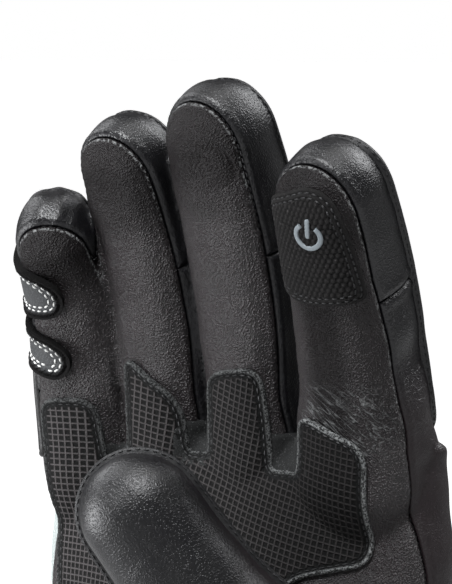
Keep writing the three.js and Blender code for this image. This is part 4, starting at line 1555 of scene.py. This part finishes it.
class MESH_OT_glove_back(GloveOperator, bpy.types.Operator):
    """Add the glossy leather back of the hand and fingers"""
    bl_idname = "mesh.glove_back"
    bl_label = "Back"

    def execute(self, context):
        dress_panels(["back_panel"])
        return {"FINISHED"}


class MESH_OT_glove_tips(GloveOperator, bpy.types.Operator):
    """Add the glossy bands over the four fingertips"""
    bl_idname = "mesh.glove_tips"
    bl_label = "Fingertip bands"

    def execute(self, context):
        dress_panels([row["name"] + "_tip_band" for row in FINGERS])
        return {"FINISHED"}


class MESH_OT_glove_walls(GloveOperator, bpy.types.Operator):
    """Add the walls between the fingers and the two outer sides"""
    bl_idname = "mesh.glove_walls"
    bl_label = "Side walls"

    def execute(self, context):
        dress_panels(["little_side_panel", "hand_side_panel", *BETWEEN_FINGERS])
        return {"FINISHED"}


class MESH_OT_glove_thumb(GloveOperator, bpy.types.Operator):
    """Add the thumb's two halves"""
    bl_idname = "mesh.glove_thumb"
    bl_label = "Thumb"

    def execute(self, context):
        dress_panels(["thumb_pulp_panel", "thumb_back_panel"])
        return {"FINISHED"}


def flange_heights(line, on_thumb):
    """How high an outward seam stands at each point of its line, lower between the fingers."""
    size = sizes()
    if on_thumb:
        tall = np.ones(len(line.points))
    else:
        x, _, z = line.points.T
        index = FINGER_TUBES[-1].locate(line.points)
        outer = (x > 44) | ((index["away"] < 4) & (index["q"] > 0)) | ((z < 172) & (abs(x) > 30))
        tall = np.convolve(np.pad(outer.astype(float), 8, "edge"), np.ones(17) / 17, "valid")
    height = size["small_flange"] + (size["flange"] - size["small_flange"]) * tall
    return height * (1 + 0.09 * soft_noise(line.points, 5, 17))


def flange_section(thickness, face):
    """One leather edge of a flange: (across, up) points, up in shares of its height, with a flared foot."""
    t = thickness
    section = [(0.05, -0.9), (0.05, 0.9), (0.22, 1), (t - 0.22, 1)]
    section += [(t - 0.03, 0.88), (t, 0.4), (t + 0.3, 0), (t + 0.3, -0.9)]
    mirrored = [(face * across, up) for across, up in section]
    return mirrored[::face]


def flange(line, heights):
    """Two leather edges pressed together along an outward seam, and their stitches."""
    size = sizes()
    bent = copy.copy(line)
    bent.points = line.points + line.across * (0.12 * soft_noise(line.points, 3, 23))[:, None]
    at = along_line(line, size["stitch_spacing"])
    centres, tangents, normals, across = read_line(bent, at)
    lift = normals * (np.interp(at, line.at, heights) * 0.62)[:, None]
    edges = []
    sewn = []
    for face in (1, -1):
        edges.append(swept(bent, flange_section(size["flange_leather"], face), heights))
        outward = across * face
        outside = outward * (size["flange_leather"] + size["thread"] * 0.35)
        sewn.append(threads(centres + lift + outside, tangents, outward, size["stitch"], size["thread"]))
    return joined(edges), joined(sewn)


class MESH_OT_glove_flanges(GloveOperator, bpy.types.Operator):
    """Add the outward seams with their stitches"""
    bl_idname = "mesh.glove_flanges"
    bl_label = "Outward seams"

    def execute(self, context):
        leather = cut_leather()
        for name, lines in (("thumb", leather["thumb_lines"]), ("back", leather["back_lines"][:1])):
            made = [flange(line, flange_heights(line, name == "thumb")) for line in lines]
            edges, sewn = (joined(pieces) for pieces in zip(*made))
            material = plain_leather("Edge leather", "gloss", rough=0.5)
            dressed(name + "_seam_flange", *edges, material, slot="glossy_leather")
            dressed(name + "_seam_stitches", *sewn, dark_thread(), slot="binding_leather")
        return {"FINISHED"}


class MESH_OT_glove_inner_stitches(GloveOperator, bpy.types.Operator):
    """Add the stitches that lie in the grooves of the inward seams"""
    bl_idname = "mesh.glove_inner_stitches"
    bl_label = "Groove stitches"

    def execute(self, context):
        leather = cut_leather()
        size = sizes()
        lines = leather["palm_lines"] + leather["root_lines"] + leather["join_lines"]
        low = size["groove"] * -0.75
        sewn = stitched(lines, size["stitch_spacing"], size["stitch"], size["thread"], low)
        dressed("groove_stitches", *sewn, dark_thread(), slot="binding_leather")
        return {"FINISHED"}


# Patches

GRIP_TABS = [  # left, right, height at its left and at its right
    (-41.5, -26.5, 192, 192.5),
    (-18.5, -4.5, 204, 193),
    (3.5, 18.5, 200, 202),
    (29, 47.5, 192, 184.5),
]
GRIP_NOTCH_Z = [177, 180, 177]
GRIP_FOOT = dict(left=-38, right=24, low=118, shoulder=156, shoulder_right=46)
GRIP_CORNER = 4.5
GRIP_TAB_CORNER = 5.5
GRIP_BORDER = 2.1  # from the patch's edge to where the grid shows
GRIP_SEWN = 1.45
GRIP_STITCH = dict(spacing=1.9, length=1.35, radius=0.21)
GRIP_STEP = 0.55
GRIP_LOOPS = (0.2, 0.55, 0.8, 1.3)
GRIP_SLOPES = ([-42, -34, -12, 11, 38, 50], [-2, 0, 14, 22, 12, 12])  # places across, degrees that rows fall
GRIP_LEAN = 0.55  # how much of the rows' slope the columns take up
PALM_FACE_Y = 4  # the patch ends where the hand turns away from the palm side
# How much darker the grid's lines are, and how far the rim has frayed, at some places across the palm
GRIP_DARKENING_AND_FRAY_ACROSS = [-40, -12, 11, 28, 40]
GRIP_DARKENING_AND_FRAY = {"fade": [0.0, 0.3, 0.55, 0.75, 0.85], "fray": [0.15, 0.2, 0.25, 0.7, 1.0]}


def grip_outline():
    corners = []
    for i, (left, right, top_left, top_right) in enumerate(GRIP_TABS):
        corners += [(left, top_left, GRIP_TAB_CORNER), (right, top_right, GRIP_TAB_CORNER)]
        if i < len(GRIP_NOTCH_Z):
            corners.append((right + 1, GRIP_NOTCH_Z[i], GRIP_CORNER / 2))
            corners.append((GRIP_TABS[i + 1][0] - 1, GRIP_NOTCH_Z[i], GRIP_CORNER / 2))
    foot = GRIP_FOOT
    corners.append((foot["shoulder_right"], foot["shoulder"], GRIP_CORNER))
    corners.append((foot["right"], foot["shoulder"] - GRIP_CORNER, 2 * GRIP_CORNER))
    corners.append((foot["right"] - 2 * GRIP_CORNER, foot["low"], 2 * GRIP_CORNER))
    corners.append((foot["left"], foot["low"], 2 * GRIP_CORNER))
    corners.append((GRIP_TABS[0][0] + 1, FINGER_ROOT_Z, GRIP_CORNER))
    return rounded_outline(corners)


def grid_places(x, z, pitch):
    """Each place's row and column on the grip fabric's grid, whose rows bend from finger to finger."""
    xs = np.linspace(GRIP_SLOPES[0][0], GRIP_SLOPES[0][-1], 200)
    fall = np.tan(np.radians(np.interp(xs, *GRIP_SLOPES)))
    fallen = np.interp(x, xs, np.cumsum(fall) * (xs[1] - xs[0]))
    lean = np.interp(x, xs, fall)
    return (z + fallen) / pitch, (x - (z - FINGER_ROOT_Z) * lean * GRIP_LEAN) / pitch


def palm_rays(flat):
    """Rays from the palm side on to the hand, for places across and up the palm."""
    origins = np.column_stack([flat[:, 0], np.full(len(flat), -100.0), flat[:, 1]])
    return origins, np.tile([0.0, 1, 0], (len(flat), 1))


def inner_run(surface, level):
    """The lines on a patch where its edge distance has a level."""
    inside = surface.copy()
    inside.cut("edge", level)
    inside = inside.part(inside.middle("edge") > level)
    return seam_lines(inside, "edge", level, shortest=8)


def clear_of_thumb(places, _):
    """Where the grip patch may lie: in front of the hand and not up the thumb's root."""
    return (THUMB_TUBE.locate(places)["away"] > 1.6) & (places[:, 1] < PALM_FACE_Y)


class MESH_OT_glove_grip_patch(GloveOperator, bpy.types.Operator):
    """Add the gridded grip patch with its rough border"""
    bl_idname = "mesh.glove_grip_patch"
    bl_label = "Grip patch"

    def execute(self, context):
        cut_leather()
        size = sizes()
        patch = draped_patch(grip_outline(), GRIP_STEP, palm_rays, GRIP_LOOPS, "hand", clear_of_thumb)
        edge = patch.value("edge")
        row, col = grid_places(patch.value("u"), patch.value("v"), size["grid_pitch"])
        height = size["patch"] * (0.35 + 0.65 * plump(edge, 0.55)) - 0.35 * ease(0.7, 1.3, edge)
        height += 0.1 * soft_noise(patch.points, 0.9, 41) * (edge < GRIP_BORDER)
        height += 0.15 * soft_noise(patch.points, 9, 3)
        values = {"row": row, "col": col, "edge": edge}
        for key, worn in GRIP_DARKENING_AND_FRAY.items():
            values[key] = np.interp(patch.value("u"), GRIP_DARKENING_AND_FRAY_ACROSS, worn)
        values = {key: np.tile(value, 2) for key, value in values.items()}
        made = raised(patch, height)
        dressed("grip_fabric", *made, grid_fabric(), ["grip_patch"], "grid_fabric", values, sharp=75)
        sewn = stitched(inner_run(patch, GRIP_SEWN), **GRIP_STITCH, lift=size["patch"] - 0.28)
        dressed("grip_stitches", *sewn, dark_thread(), slot="grid_fabric")
        return {"FINISHED"}


# Rough suede between the patch's tabs, in the webs of the fingers

WEB_SUEDE = [  # left, right, top
    (-29, -16, 181),
    (-7.5, 6.5, 187.5),
    (15.5, 33, 185.5),
]
SUEDE_THICKNESS = 0.45


def facing_palm(places, normals):
    return (normals[:, 1] < -0.12) & (places[:, 1] < 3)


class MESH_OT_glove_web_suede(GloveOperator, bpy.types.Operator):
    """Add the rough suede in the webs between the fingers"""
    bl_idname = "mesh.glove_web_suede"
    bl_label = "Web suede"

    def execute(self, context):
        cut_leather()
        made = []
        for (left, right, top), notch in zip(WEB_SUEDE, GRIP_NOTCH_Z):
            low = notch - 4
            outline = rounded_outline([(left, low, 3), (right, low, 3), (right, top, 4), (left, top, 4)])
            patch = draped_patch(outline, 0.5, palm_rays, (), "hand", facing_palm)
            rim = np.clip(inside_distance(patch.data[:, 6:8], outline) / 0.8, 0, 1)
            height = SUEDE_THICKNESS * rim + 0.12 * soft_noise(patch.points, 0.9, 43) + 0.3
            made.append(raised(patch, height, -0.3))
        dressed("web_suede", *joined(made), suede(), slot="grid_fabric")
        return {"FINISHED"}


# The index fingertip's patch, unrolled: mm round the finger and mm along it from its tip's centre

TOUCH_ROUND = 13  # radius that turns mm round the finger into degrees
TOUCH_CORNERS = [  # round, along, radius
    (-12.6, -20.8, 3), (-4, -22.4, 5), (5, -21.6, 5), (12.3, -20.8, 2.2), (11.4, -6, 6), (9.4, 7.4, 5),
    (3, 10.6, 5), (-5, 7.6, 5), (-12.6, 3, 5),
]
TOUCH_BORDERS = [1.15, 2.3]
TOUCH_STITCH = dict(spacing=1.75, length=1.25, radius=0.24)
RIB_PITCH = 1.3
RIB_LENGTH = 1.35
SYMBOL_BOX = [(-1.2, -5.3), (6, 1.9)]  # two corners of the grid that the symbol is cut from
SYMBOL = dict(
    round=2, along=-2.1, turn=-8, tall=1.08, radius=3, stroke=1.15, bar=3.9, gap=36, print=0.2, lift=0.16,
)


def around_tube(tube, flat, radius):
    """Rays from a tube's axis outward, for unrolled places."""
    angle = flat[:, 0] / radius
    share = np.clip(1 + flat[:, 1] / tube.length, 0, 1)
    tilt = np.clip(flat[:, 1] / tube.tip, 0, 1.45)
    palm = unit(tube.at(tube.palm, share))
    side = unit(tube.at(tube.side, share))
    along = unit(tube.at(tube.along, share))
    level = palm * np.cos(angle)[:, None] + side * np.sin(angle)[:, None]
    return tube.at(tube.place, share), level * np.cos(tilt)[:, None] + along * np.sin(tilt)[:, None]


def tube_patch(tube, outline, radius, step, loops):
    """A patch on a finger, from its unrolled outline."""
    return draped_patch(outline, step, lambda flat: around_tube(tube, flat, radius), loops)


def capsule(points, start, end, radius):
    """Distance inside a round-ended bar, positive inside."""
    run = np.array(end) - start
    t = np.clip((points - start) @ run / (run @ run), 0, 1)
    return radius - np.linalg.norm(points - start - t[:, None] * run, axis=1)


def symbol_distance(flat):
    """How far inside the power symbol's strokes each unrolled place lies."""
    s = SYMBOL
    turn = math.radians(s["turn"])
    turned = [[math.cos(turn), -math.sin(turn)], [math.sin(turn), math.cos(turn)]]
    offset = (flat - (s["round"], s["along"])) @ turned / (1, s["tall"])
    reach = np.linalg.norm(offset, axis=1)
    opened = np.degrees(np.arctan2(abs(offset[:, 0]), offset[:, 1]))
    half = s["stroke"] / 2
    ring = np.minimum(half - abs(reach - s["radius"]), np.radians(opened - s["gap"]) * s["radius"])
    return np.maximum(ring, capsule(offset, (0, 0.1), (0, s["bar"]), half))


def quilted(flat):
    """Short vertical ribs in staggered rows: 1 on a rib's crown and 0 between ribs."""
    row = np.floor(flat[:, 1] / RIB_LENGTH)
    across = flat[:, 0] / RIB_PITCH + 0.5 * (row % 2)
    up = flat[:, 1] / RIB_LENGTH - row
    crown = np.cos(np.pi * (across - np.round(across))) ** 0.8
    return crown * np.sin(np.pi * up) ** 0.35


class MESH_OT_glove_touch_patch(GloveOperator, bpy.types.Operator):
    """Add the ribbed patch on the index fingertip and its power symbol"""
    bl_idname = "mesh.glove_touch_patch"
    bl_label = "Touch patch"

    def execute(self, context):
        cut_leather()
        size = sizes()
        tube = FINGER_TUBES[-1]
        patch = tube_patch(tube, rounded_outline(TOUCH_CORNERS), TOUCH_ROUND, 0.26, (0.2, 0.5))
        flat = patch.data[:, 6:8]
        edge = patch.value("edge")
        inner_border = TOUCH_BORDERS[1]
        field = ease(inner_border, inner_border + 0.3, edge)
        rib = quilted(flat) * field + (1 - field) * 0.55
        height = size["patch"] * (0.3 + 0.7 * plump(edge, 0.7)) + 0.42 * (rib - 0.5)
        height += 0.1 * soft_noise(patch.points, 5, 3)
        for border in TOUCH_BORDERS:
            height -= line_groove(edge - border, 0.36, 0.24)
        made = raised(patch, height)
        values = {"line": np.tile(rib, 2)}
        dressed("touch_fabric", *made, touch_fabric(), ["touch_patch"], "touch_fabric", values, sharp=75)
        runs = [run for level in TOUCH_BORDERS for run in inner_run(patch, level)]
        sewn = stitched(runs, **TOUCH_STITCH, lift=size["patch"] - 0.1)
        dressed("touch_stitches", *sewn, dark_thread(), slot="touch_fabric")
        mark, mark_triangles = grid_over(np.array(SYMBOL_BOX), 0.14)
        places, normals, _ = drape(*around_tube(tube, mark, TOUCH_ROUND), "whole")
        printed = flat_surface(mark, mark_triangles, places, normals, symbol_distance(mark))
        printed.cut("edge", 0)
        printed = printed.part(printed.middle("edge") > 0)
        low = size["patch"] + SYMBOL["lift"]
        high = low + SYMBOL["print"] * plump(printed.value("edge"), 0.3)
        dressed("touch_symbol", *raised(printed, high, low - 0.3), symbol_print(), slot="touch_fabric")
        return {"FINISHED"}


# The stitched side tabs: degrees round the little finger from its palm line and mm along from its root

TAB_ROUND = 11
TABS = {
    "side_tab_upper": [
        (-126, 74.5), (-90, 74), (-60, 74), (-41, 74.7), (-30, 74.2), (-17, 73.2), (-5, 71.2), (2, 69.2),
        (5.5, 66.6), (4, 63.6), (-3, 61.4), (-11, 60.6), (-23, 60), (-49, 59), (-90, 59.2), (-126, 60),
    ],
    "side_tab_lower": [
        (-126, 57), (-90, 55), (-65, 54), (-51, 54.2), (-35, 53.6), (-21, 52.8), (-11, 51.2), (-3, 49.2),
        (0.5, 46.4), (-2, 44), (-10, 41.6), (-19, 40.8), (-32, 41.2), (-45, 41.8), (-60, 42.4), (-90, 43),
        (-126, 43.5),
    ],
}
TAB_CORNER = 1.6
WELT = 1.65
TAB_ROWS = [0.5, 1.7]  # rows of white stitches, from the welt inward
TAB_STITCH = dict(spacing=1.75, length=1.2, radius=0.25, sides=6)


def side_tab(name, corners):
    """One tab with its welt, and its stitches, which are given back."""
    size = sizes()
    tube = FINGER_TUBES[0]
    corners = [(math.radians(a) * TAB_ROUND, s - tube.length, TAB_CORNER) for a, s in corners]
    patch = tube_patch(tube, rounded_outline(corners), TAB_ROUND, 0.34, (0.25, 0.6))
    edge = patch.value("edge")
    welt = WELT * plump(abs(edge - WELT / 2), WELT / 2) * 0.48 * (edge < WELT)
    flat_part = ease(WELT - 0.1, WELT + 0.3, edge)
    base = size["patch"] * 1.1
    height = base + welt - 0.12 * (1 - flat_part) + 0.12 * soft_noise(patch.points, 5, 61)
    for row in TAB_ROWS:
        height -= line_groove(edge - WELT - row, 0.14, 0.3)
    border = {"border": np.tile(1 - flat_part, 2)}
    dressed(name + "_leather", *raised(patch, height), tab_leather(), [name], "tab_leather", border)
    runs = [run for row in TAB_ROWS for run in inner_run(patch, WELT + row)]
    return stitched(runs, **TAB_STITCH, lift=base)


class MESH_OT_glove_side_tabs(GloveOperator, bpy.types.Operator):
    """Add the two stitched tabs round the little finger's outer side"""
    bl_idname = "mesh.glove_side_tabs"
    bl_label = "Side tabs"

    def execute(self, context):
        cut_leather()
        sewn = [side_tab(name, corners) for name, corners in TABS.items()]
        dressed("side_tab_stitches", *joined(sewn), white_thread(), slot="tab_leather")
        return {"FINISHED"}


# The strip on the outer edge of the hand

EDGE_STRIP = dict(top=199, bottom=176.5, width=8, x=-37, y=-8, facing=-62, lean=-3, sewn=1.6)


def strip_rays(flat):
    """Rays on to the outer edge of the hand, for places across and up the strip."""
    s = EDGE_STRIP
    facing = math.radians(s["facing"])
    outward = np.array([math.sin(facing), -math.cos(facing), 0])
    beside = np.array([math.cos(facing), math.sin(facing), 0])
    lean = math.tan(math.radians(s["lean"])) * (flat[:, 1] - s["bottom"])
    origins = np.array([s["x"], s["y"], 0]) + outward * 60 + np.outer(flat[:, 0] + lean, beside)
    origins[:, 2] = flat[:, 1]
    return origins, np.tile(-outward, (len(flat), 1))


class MESH_OT_glove_edge_strip(GloveOperator, bpy.types.Operator):
    """Add the dark strip with a round lower end on the outer edge of the hand"""
    bl_idname = "mesh.glove_edge_strip"
    bl_label = "Edge strip"

    def execute(self, context):
        cut_leather()
        size = sizes()
        s = EDGE_STRIP
        half = s["width"] / 2
        corners = [(-half, s["bottom"], half), (half, s["bottom"], half)]
        corners += [(half, s["top"], 1.5), (-half, s["top"], 1.5)]
        outline = rounded_outline(corners)
        patch = draped_patch(outline, 0.36, strip_rays)
        edge = patch.value("edge")
        height = size["patch"] * plump(edge, 1.1) - line_groove(edge - s["sewn"], 0.2, 0.3) + 0.1
        material = plain_leather("Strip leather", "welt", rough=0.5)
        dressed("edge_strip_leather", *raised(patch, height), material, ["edge_strip"], "tab_leather")
        runs = inner_run(patch, s["sewn"])
        sewn = stitched(runs, size["stitch_spacing"], size["stitch"], size["thread"], size["patch"] - 0.1)
        dressed("edge_strip_stitches", *sewn, dark_thread(), slot="tab_leather")
        return {"FINISHED"}


# The cuff, its binding and the strap

CUFF_FOLDS = dict(count=11, depth=0.9, bend=1.4, twist=0.05)
CUFF_AROUND = 240
CUFF_LEVELS = 66
CUFF_SIDE_SEAM = 0.7  # depth of the groove down each side of the cuff
CUFF_SEWN = 3  # from the cuff's ends to the stitches beside them
CUFF_SEWN_GROOVE = (0.45, 0.6)  # depth and width in mm
CUFF_ENDS = dict(top=(0.6, 1.2), low=(0.3, 1.0))  # how deep and how far in each end is rounded
CUFF_LINING_EASE = 0.9  # how much further in the wall's inner face lies at the wrist
CUFF_SPAN = (CUFF_BINDING + 0.3, WRIST_Z - 0.3)
BINDING_ROUND = 1.1
BINDING_TURNS = 28
WRIST_EASE = (45, 74)  # levels between which the cuff begins to follow the wrist
CUFF_STITCH = dict(spacing=2.6, length=1.8, radius=0.24)
STRAP = dict(low=78, high=96, start=-128, end=118, lift=0.5, round=33, sewn=2.4, corner=5)
STRAP_STITCH = dict(spacing=2.6, length=1.8, radius=0.22)


def cuff_ring(z, outward=0.0):
    """The cuff's outer ring at a level, moved outward by some millimetres."""
    width, depth = (column(CUFF, CUFF_COLUMNS, name, z) for name in ("width", "depth"))
    width, depth = float(width) + outward, float(depth) + outward
    ring = boxy_ring(0, width, depth, depth, z, CUFF_AROUND)
    ring[:, 1] += CUFF_TOP_Y * z / WRIST_Z
    return ring


def folded_ring(z):
    """The cuff's outer ring at a level with its folds, seams and rounded ends."""
    low, high = CUFF_SPAN
    ring = cuff_ring(z)
    out = unit(ring - [0, ring[:, 1].mean(), z])
    angle = np.linspace(0, 2 * np.pi, CUFF_AROUND, endpoint=False)
    bend = CUFF_FOLDS["bend"] * np.sin(angle * 3) + z * CUFF_FOLDS["twist"]
    folds = np.sin(angle * CUFF_FOLDS["count"] + bend)
    push = -CUFF_FOLDS["depth"] * ease(*WRIST_EASE, z) * (0.5 + 0.5 * folds)
    push -= line_groove(np.sin(angle), CUFF_SIDE_SEAM, 0.02)
    push += 0.25 * soft_noise(ring, 11, 71)
    for row in (high - CUFF_SEWN, low + CUFF_SEWN):
        push -= line_groove(z - row, *CUFF_SEWN_GROOVE)
    for distance, (depth, radius) in ((high - z, CUFF_ENDS["top"]), (z - low, CUFF_ENDS["low"])):
        push -= depth * (1 - plump(distance, radius))
    return ring + out * push[:, None]


def cuff_wall(leather):
    """The cuff's rings, up its outside and down its inside."""
    levels = np.linspace(*CUFF_SPAN, CUFF_LEVELS)
    inner = [cuff_ring(z, -leather - CUFF_LINING_EASE * float(ease(*WRIST_EASE, z))) for z in levels[::-5]]
    return [folded_ring(z) for z in levels] + inner


def binding_rings(leather):
    """The binding's rings, round its boxy section."""
    half = leather / 2 + BINDING_ROUND * 0.5
    rings = []
    for turn in np.linspace(0, 2 * np.pi, BINDING_TURNS, endpoint=False):
        c, s = math.cos(turn), math.sin(turn)
        across = half * np.sign(c) * abs(c) ** 0.6
        up = CUFF_BINDING / 2 * (1 + np.sign(s) * abs(s) ** 0.45)
        rings.append(cuff_ring(up, across - leather / 2))
    return rings


def ring_line(ring):
    """A ring of the cuff as a line to sew along."""
    normals = unit((ring - ring.mean(0)) * [1 / 45**2, 1 / 30**2, 0])
    return Line(np.concatenate([ring, ring[:1]]), np.concatenate([normals, normals[:1]]))


class MESH_OT_glove_cuff(GloveOperator, bpy.types.Operator):
    """Add the flared cuff and its rolled binding"""
    bl_idname = "mesh.glove_cuff"
    bl_label = "Cuff"

    def execute(self, context):
        leather = sizes()["leather"]
        points, triangles = closed_band(cuff_wall(leather))
        values = {"seam": np.full(len(points), 9)}
        dressed("cuff_leather", points, triangles, glossy_leather(), ["cuff"], "glossy_leather", values)
        points, triangles = closed_band(binding_rings(leather))
        points = points + 0.12 * soft_noise(points, 6, 77)[:, None] * unit(points * [1, 1, 0])
        points[:, 2] = np.maximum(points[:, 2], 0)
        material = plain_leather("Binding leather", "gloss", rough=0.5)
        dressed("cuff_binding_leather", points, triangles, material, ["cuff_binding"], "binding_leather")
        low, high = CUFF_SPAN
        rows = [  # level, and how far out the stitches lie there
            (CUFF_BINDING - 2, BINDING_ROUND * 0.5 - 0.05),
            (low + CUFF_SEWN, -0.35),
            (high - CUFF_SEWN, -0.45),
        ]
        lines = [ring_line(cuff_ring(level, outward)) for level, outward in rows]
        sewn = stitched(lines, **CUFF_STITCH, lift=0.15)
        dressed("cuff_stitches", *sewn, dark_thread(), slot="binding_leather")
        return {"FINISHED"}


def strap_rays(flat):
    """Rays from all round on to the wrist, for places round and up the strap."""
    angle = flat[:, 0] / STRAP["round"]
    outward = np.stack([np.sin(angle), -np.cos(angle), angle * 0], 1)
    return outward * 90 + np.column_stack([angle * 0, angle * 0, flat[:, 1]]), -outward


class MESH_OT_glove_strap(GloveOperator, bpy.types.Operator):
    """Add the wrist strap"""
    bl_idname = "mesh.glove_strap"
    bl_label = "Wrist strap"

    def execute(self, context):
        cut_leather()
        size = sizes()
        s = STRAP
        start, end = (math.radians(s[key]) * s["round"] for key in ("start", "end"))
        sides = ((start, s["low"]), (end, s["low"]), (end, s["high"]), (start, s["high"]))
        outline = rounded_outline([(*side, s["corner"]) for side in sides])
        patch = draped_patch(outline, 0.68, strap_rays, (0.3, 0.8))
        edge = patch.value("edge")
        height = s["lift"] + size["strap"] * (0.25 + 0.75 * plump(edge, 1.4))
        height -= line_groove(edge - s["sewn"], 0.3, 0.35)
        material = plain_leather("Strap leather", "gloss", rough=0.45)
        made = raised(patch, height, s["lift"])
        dressed("strap_leather", *made, material, ["wrist_strap"], "binding_leather")
        lift = s["lift"] + size["strap"] - 0.1
        sewn = stitched(inner_run(patch, s["sewn"]), **STRAP_STITCH, lift=lift)
        dressed("strap_stitches", *sewn, dark_thread(), slot="binding_leather")
        return {"FINISHED"}


# Floor, light and camera

VIEW = dict(azimuth=28, elevation=4, distance=0.9, target=(0, 0, 0.2177), lens=230.2, sensor=36)
FLOOR_SIZE = 60
FLOOR_COLOUR = (0.97, 0.97, 0.97, 1)
FLOOR_BOUNCE = 0.42  # share of its light that the floor throws back on the glove
FLOOR_GLOW = 0.65  # light added to the floor where the camera looks at it
BACKDROP = 1.0  # brightness of the room where the camera looks at it
ROOM_LIGHT = 0.08
OVERHEAD = dict(azimuth=52, elevation=78, strength=1.1, softness=50)
LIGHT_COLOUR = (0.97, 0.98, 1.0)
LIGHTS = [  # name, azimuth, elevation, distance, size, watts
    ("low", -50, -10, 0.28, 0.16, 0.85),
    ("high", 3, 51, 1.0, 0.28, 13),
    ("left", -98, 38, 0.9, 0.55, 4),
    ("right", 142, 44, 0.9, 0.55, 8),
]


def looking(azimuth, elevation):
    """The direction from the glove towards a viewer at this azimuth and elevation, in degrees."""
    az, el = math.radians(azimuth), math.radians(elevation)
    return Vector((math.sin(az) * math.cos(el), -math.cos(az) * math.cos(el), math.sin(el)))


def aim(thing, place, target):
    thing.location = place
    thing.rotation_euler = (place - target).to_track_quat("Z", "Y").to_euler()


def pale_floor():
    """A white floor that throws back less light on the glove than the camera sees on it."""
    def fill(n, shader):
        seen = n.add("ShaderNodeLightPath").outputs["Is Camera Ray"]
        tone = n.mix(seen, times(FLOOR_COLOUR, FLOOR_BOUNCE), FLOOR_COLOUR)
        glow = n.span(seen, 0.0, FLOOR_GLOW)
        feed(n, shader, Base_Color=tone, Roughness=0.9, Emission_Color=FLOOR_COLOUR, Emission_Strength=glow)
    return finish("Pale floor", fill)


class MESH_OT_glove_stage(GloveOperator, bpy.types.Operator):
    """Add a pale floor, soft lights and the camera"""
    bl_idname = "mesh.glove_stage"
    bl_label = "Floor, light and camera"

    def execute(self, context):
        scene = context.scene
        half = FLOOR_SIZE / 2
        mesh = bpy.data.meshes.new("floor")
        corners = [(-half, -half, 0), (half, -half, 0), (half, half, 0), (-half, half, 0)]
        mesh.from_pydata(corners, [], [(0, 1, 2, 3)])
        mesh.materials.append(pale_floor())
        placed("floor", mesh)
        world = bpy.data.worlds.new("Pale room")
        world.use_nodes = True
        nodes = Nodes(world.node_tree)
        seen = nodes.add("ShaderNodeLightPath").outputs["Is Camera Ray"]
        room = world.node_tree.nodes["Background"].inputs
        connect(world.node_tree, nodes.span(seen, ROOM_LIGHT, BACKDROP), room["Strength"])
        room["Color"].default_value = (1, 1, 1, 1)
        scene.world = world
        scene.view_settings.view_transform = "Standard"
        sun = bpy.data.lights.new("overhead", "SUN")
        sun.energy = OVERHEAD["strength"]
        sun.angle = math.radians(OVERHEAD["softness"])
        aim(placed("overhead", sun), looking(OVERHEAD["azimuth"], OVERHEAD["elevation"]), Vector((0, 0, 0)))
        target = Vector(VIEW["target"])
        for name, azimuth, elevation, distance, size, watts in LIGHTS:
            data = bpy.data.lights.new(name, "AREA")
            data.size = size
            data.energy = watts
            data.color = LIGHT_COLOUR
            light = placed(name, data)
            light.visible_camera = False
            aim(light, target + looking(azimuth, elevation) * distance, target)
        lens = bpy.data.cameras.new("camera")
        lens.sensor_fit = "VERTICAL"
        lens.sensor_height = VIEW["sensor"]
        lens.lens = VIEW["lens"]
        scene.camera = placed("camera", lens)
        aim(scene.camera, target + looking(VIEW["azimuth"], VIEW["elevation"]) * VIEW["distance"], target)
        return {"FINISHED"}


OPERATORS = GloveOperator.__subclasses__()  # in the order in which they stand above


class VIEW3D_PT_glove(bpy.types.Panel):
    """Sidebar panel with the glove's sizes, colours and pieces"""
    bl_label = "Touring glove"
    bl_idname = "VIEW3D_PT_glove"
    bl_space_type = "VIEW_3D"
    bl_region_type = "UI"
    bl_category = "Glove"

    def draw(self, context):
        for settings in (context.scene.glove_sizes, context.scene.glove_colours):
            box = self.layout.box()
            for key in settings.__annotations__:
                box.prop(settings, key)
        for operator in OPERATORS:
            self.layout.operator(operator.bl_idname)


CLASSES = [GloveSizes, GloveColours, *OPERATORS, VIEW3D_PT_glove]


def register():
    for entry in CLASSES:
        bpy.utils.register_class(entry)
    bpy.types.Scene.glove_sizes = bpy.props.PointerProperty(type=GloveSizes)
    bpy.types.Scene.glove_colours = bpy.props.PointerProperty(type=GloveColours)


def unregister():
    del bpy.types.Scene.glove_colours
    del bpy.types.Scene.glove_sizes
    for entry in reversed(CLASSES):
        bpy.utils.unregister_class(entry)


def main():
    register()
    for operator in OPERATORS:
        group_name, name = operator.bl_idname.split(".")
        getattr(getattr(bpy.ops, group_name), name)()


if __name__ == "__main__":
    main()
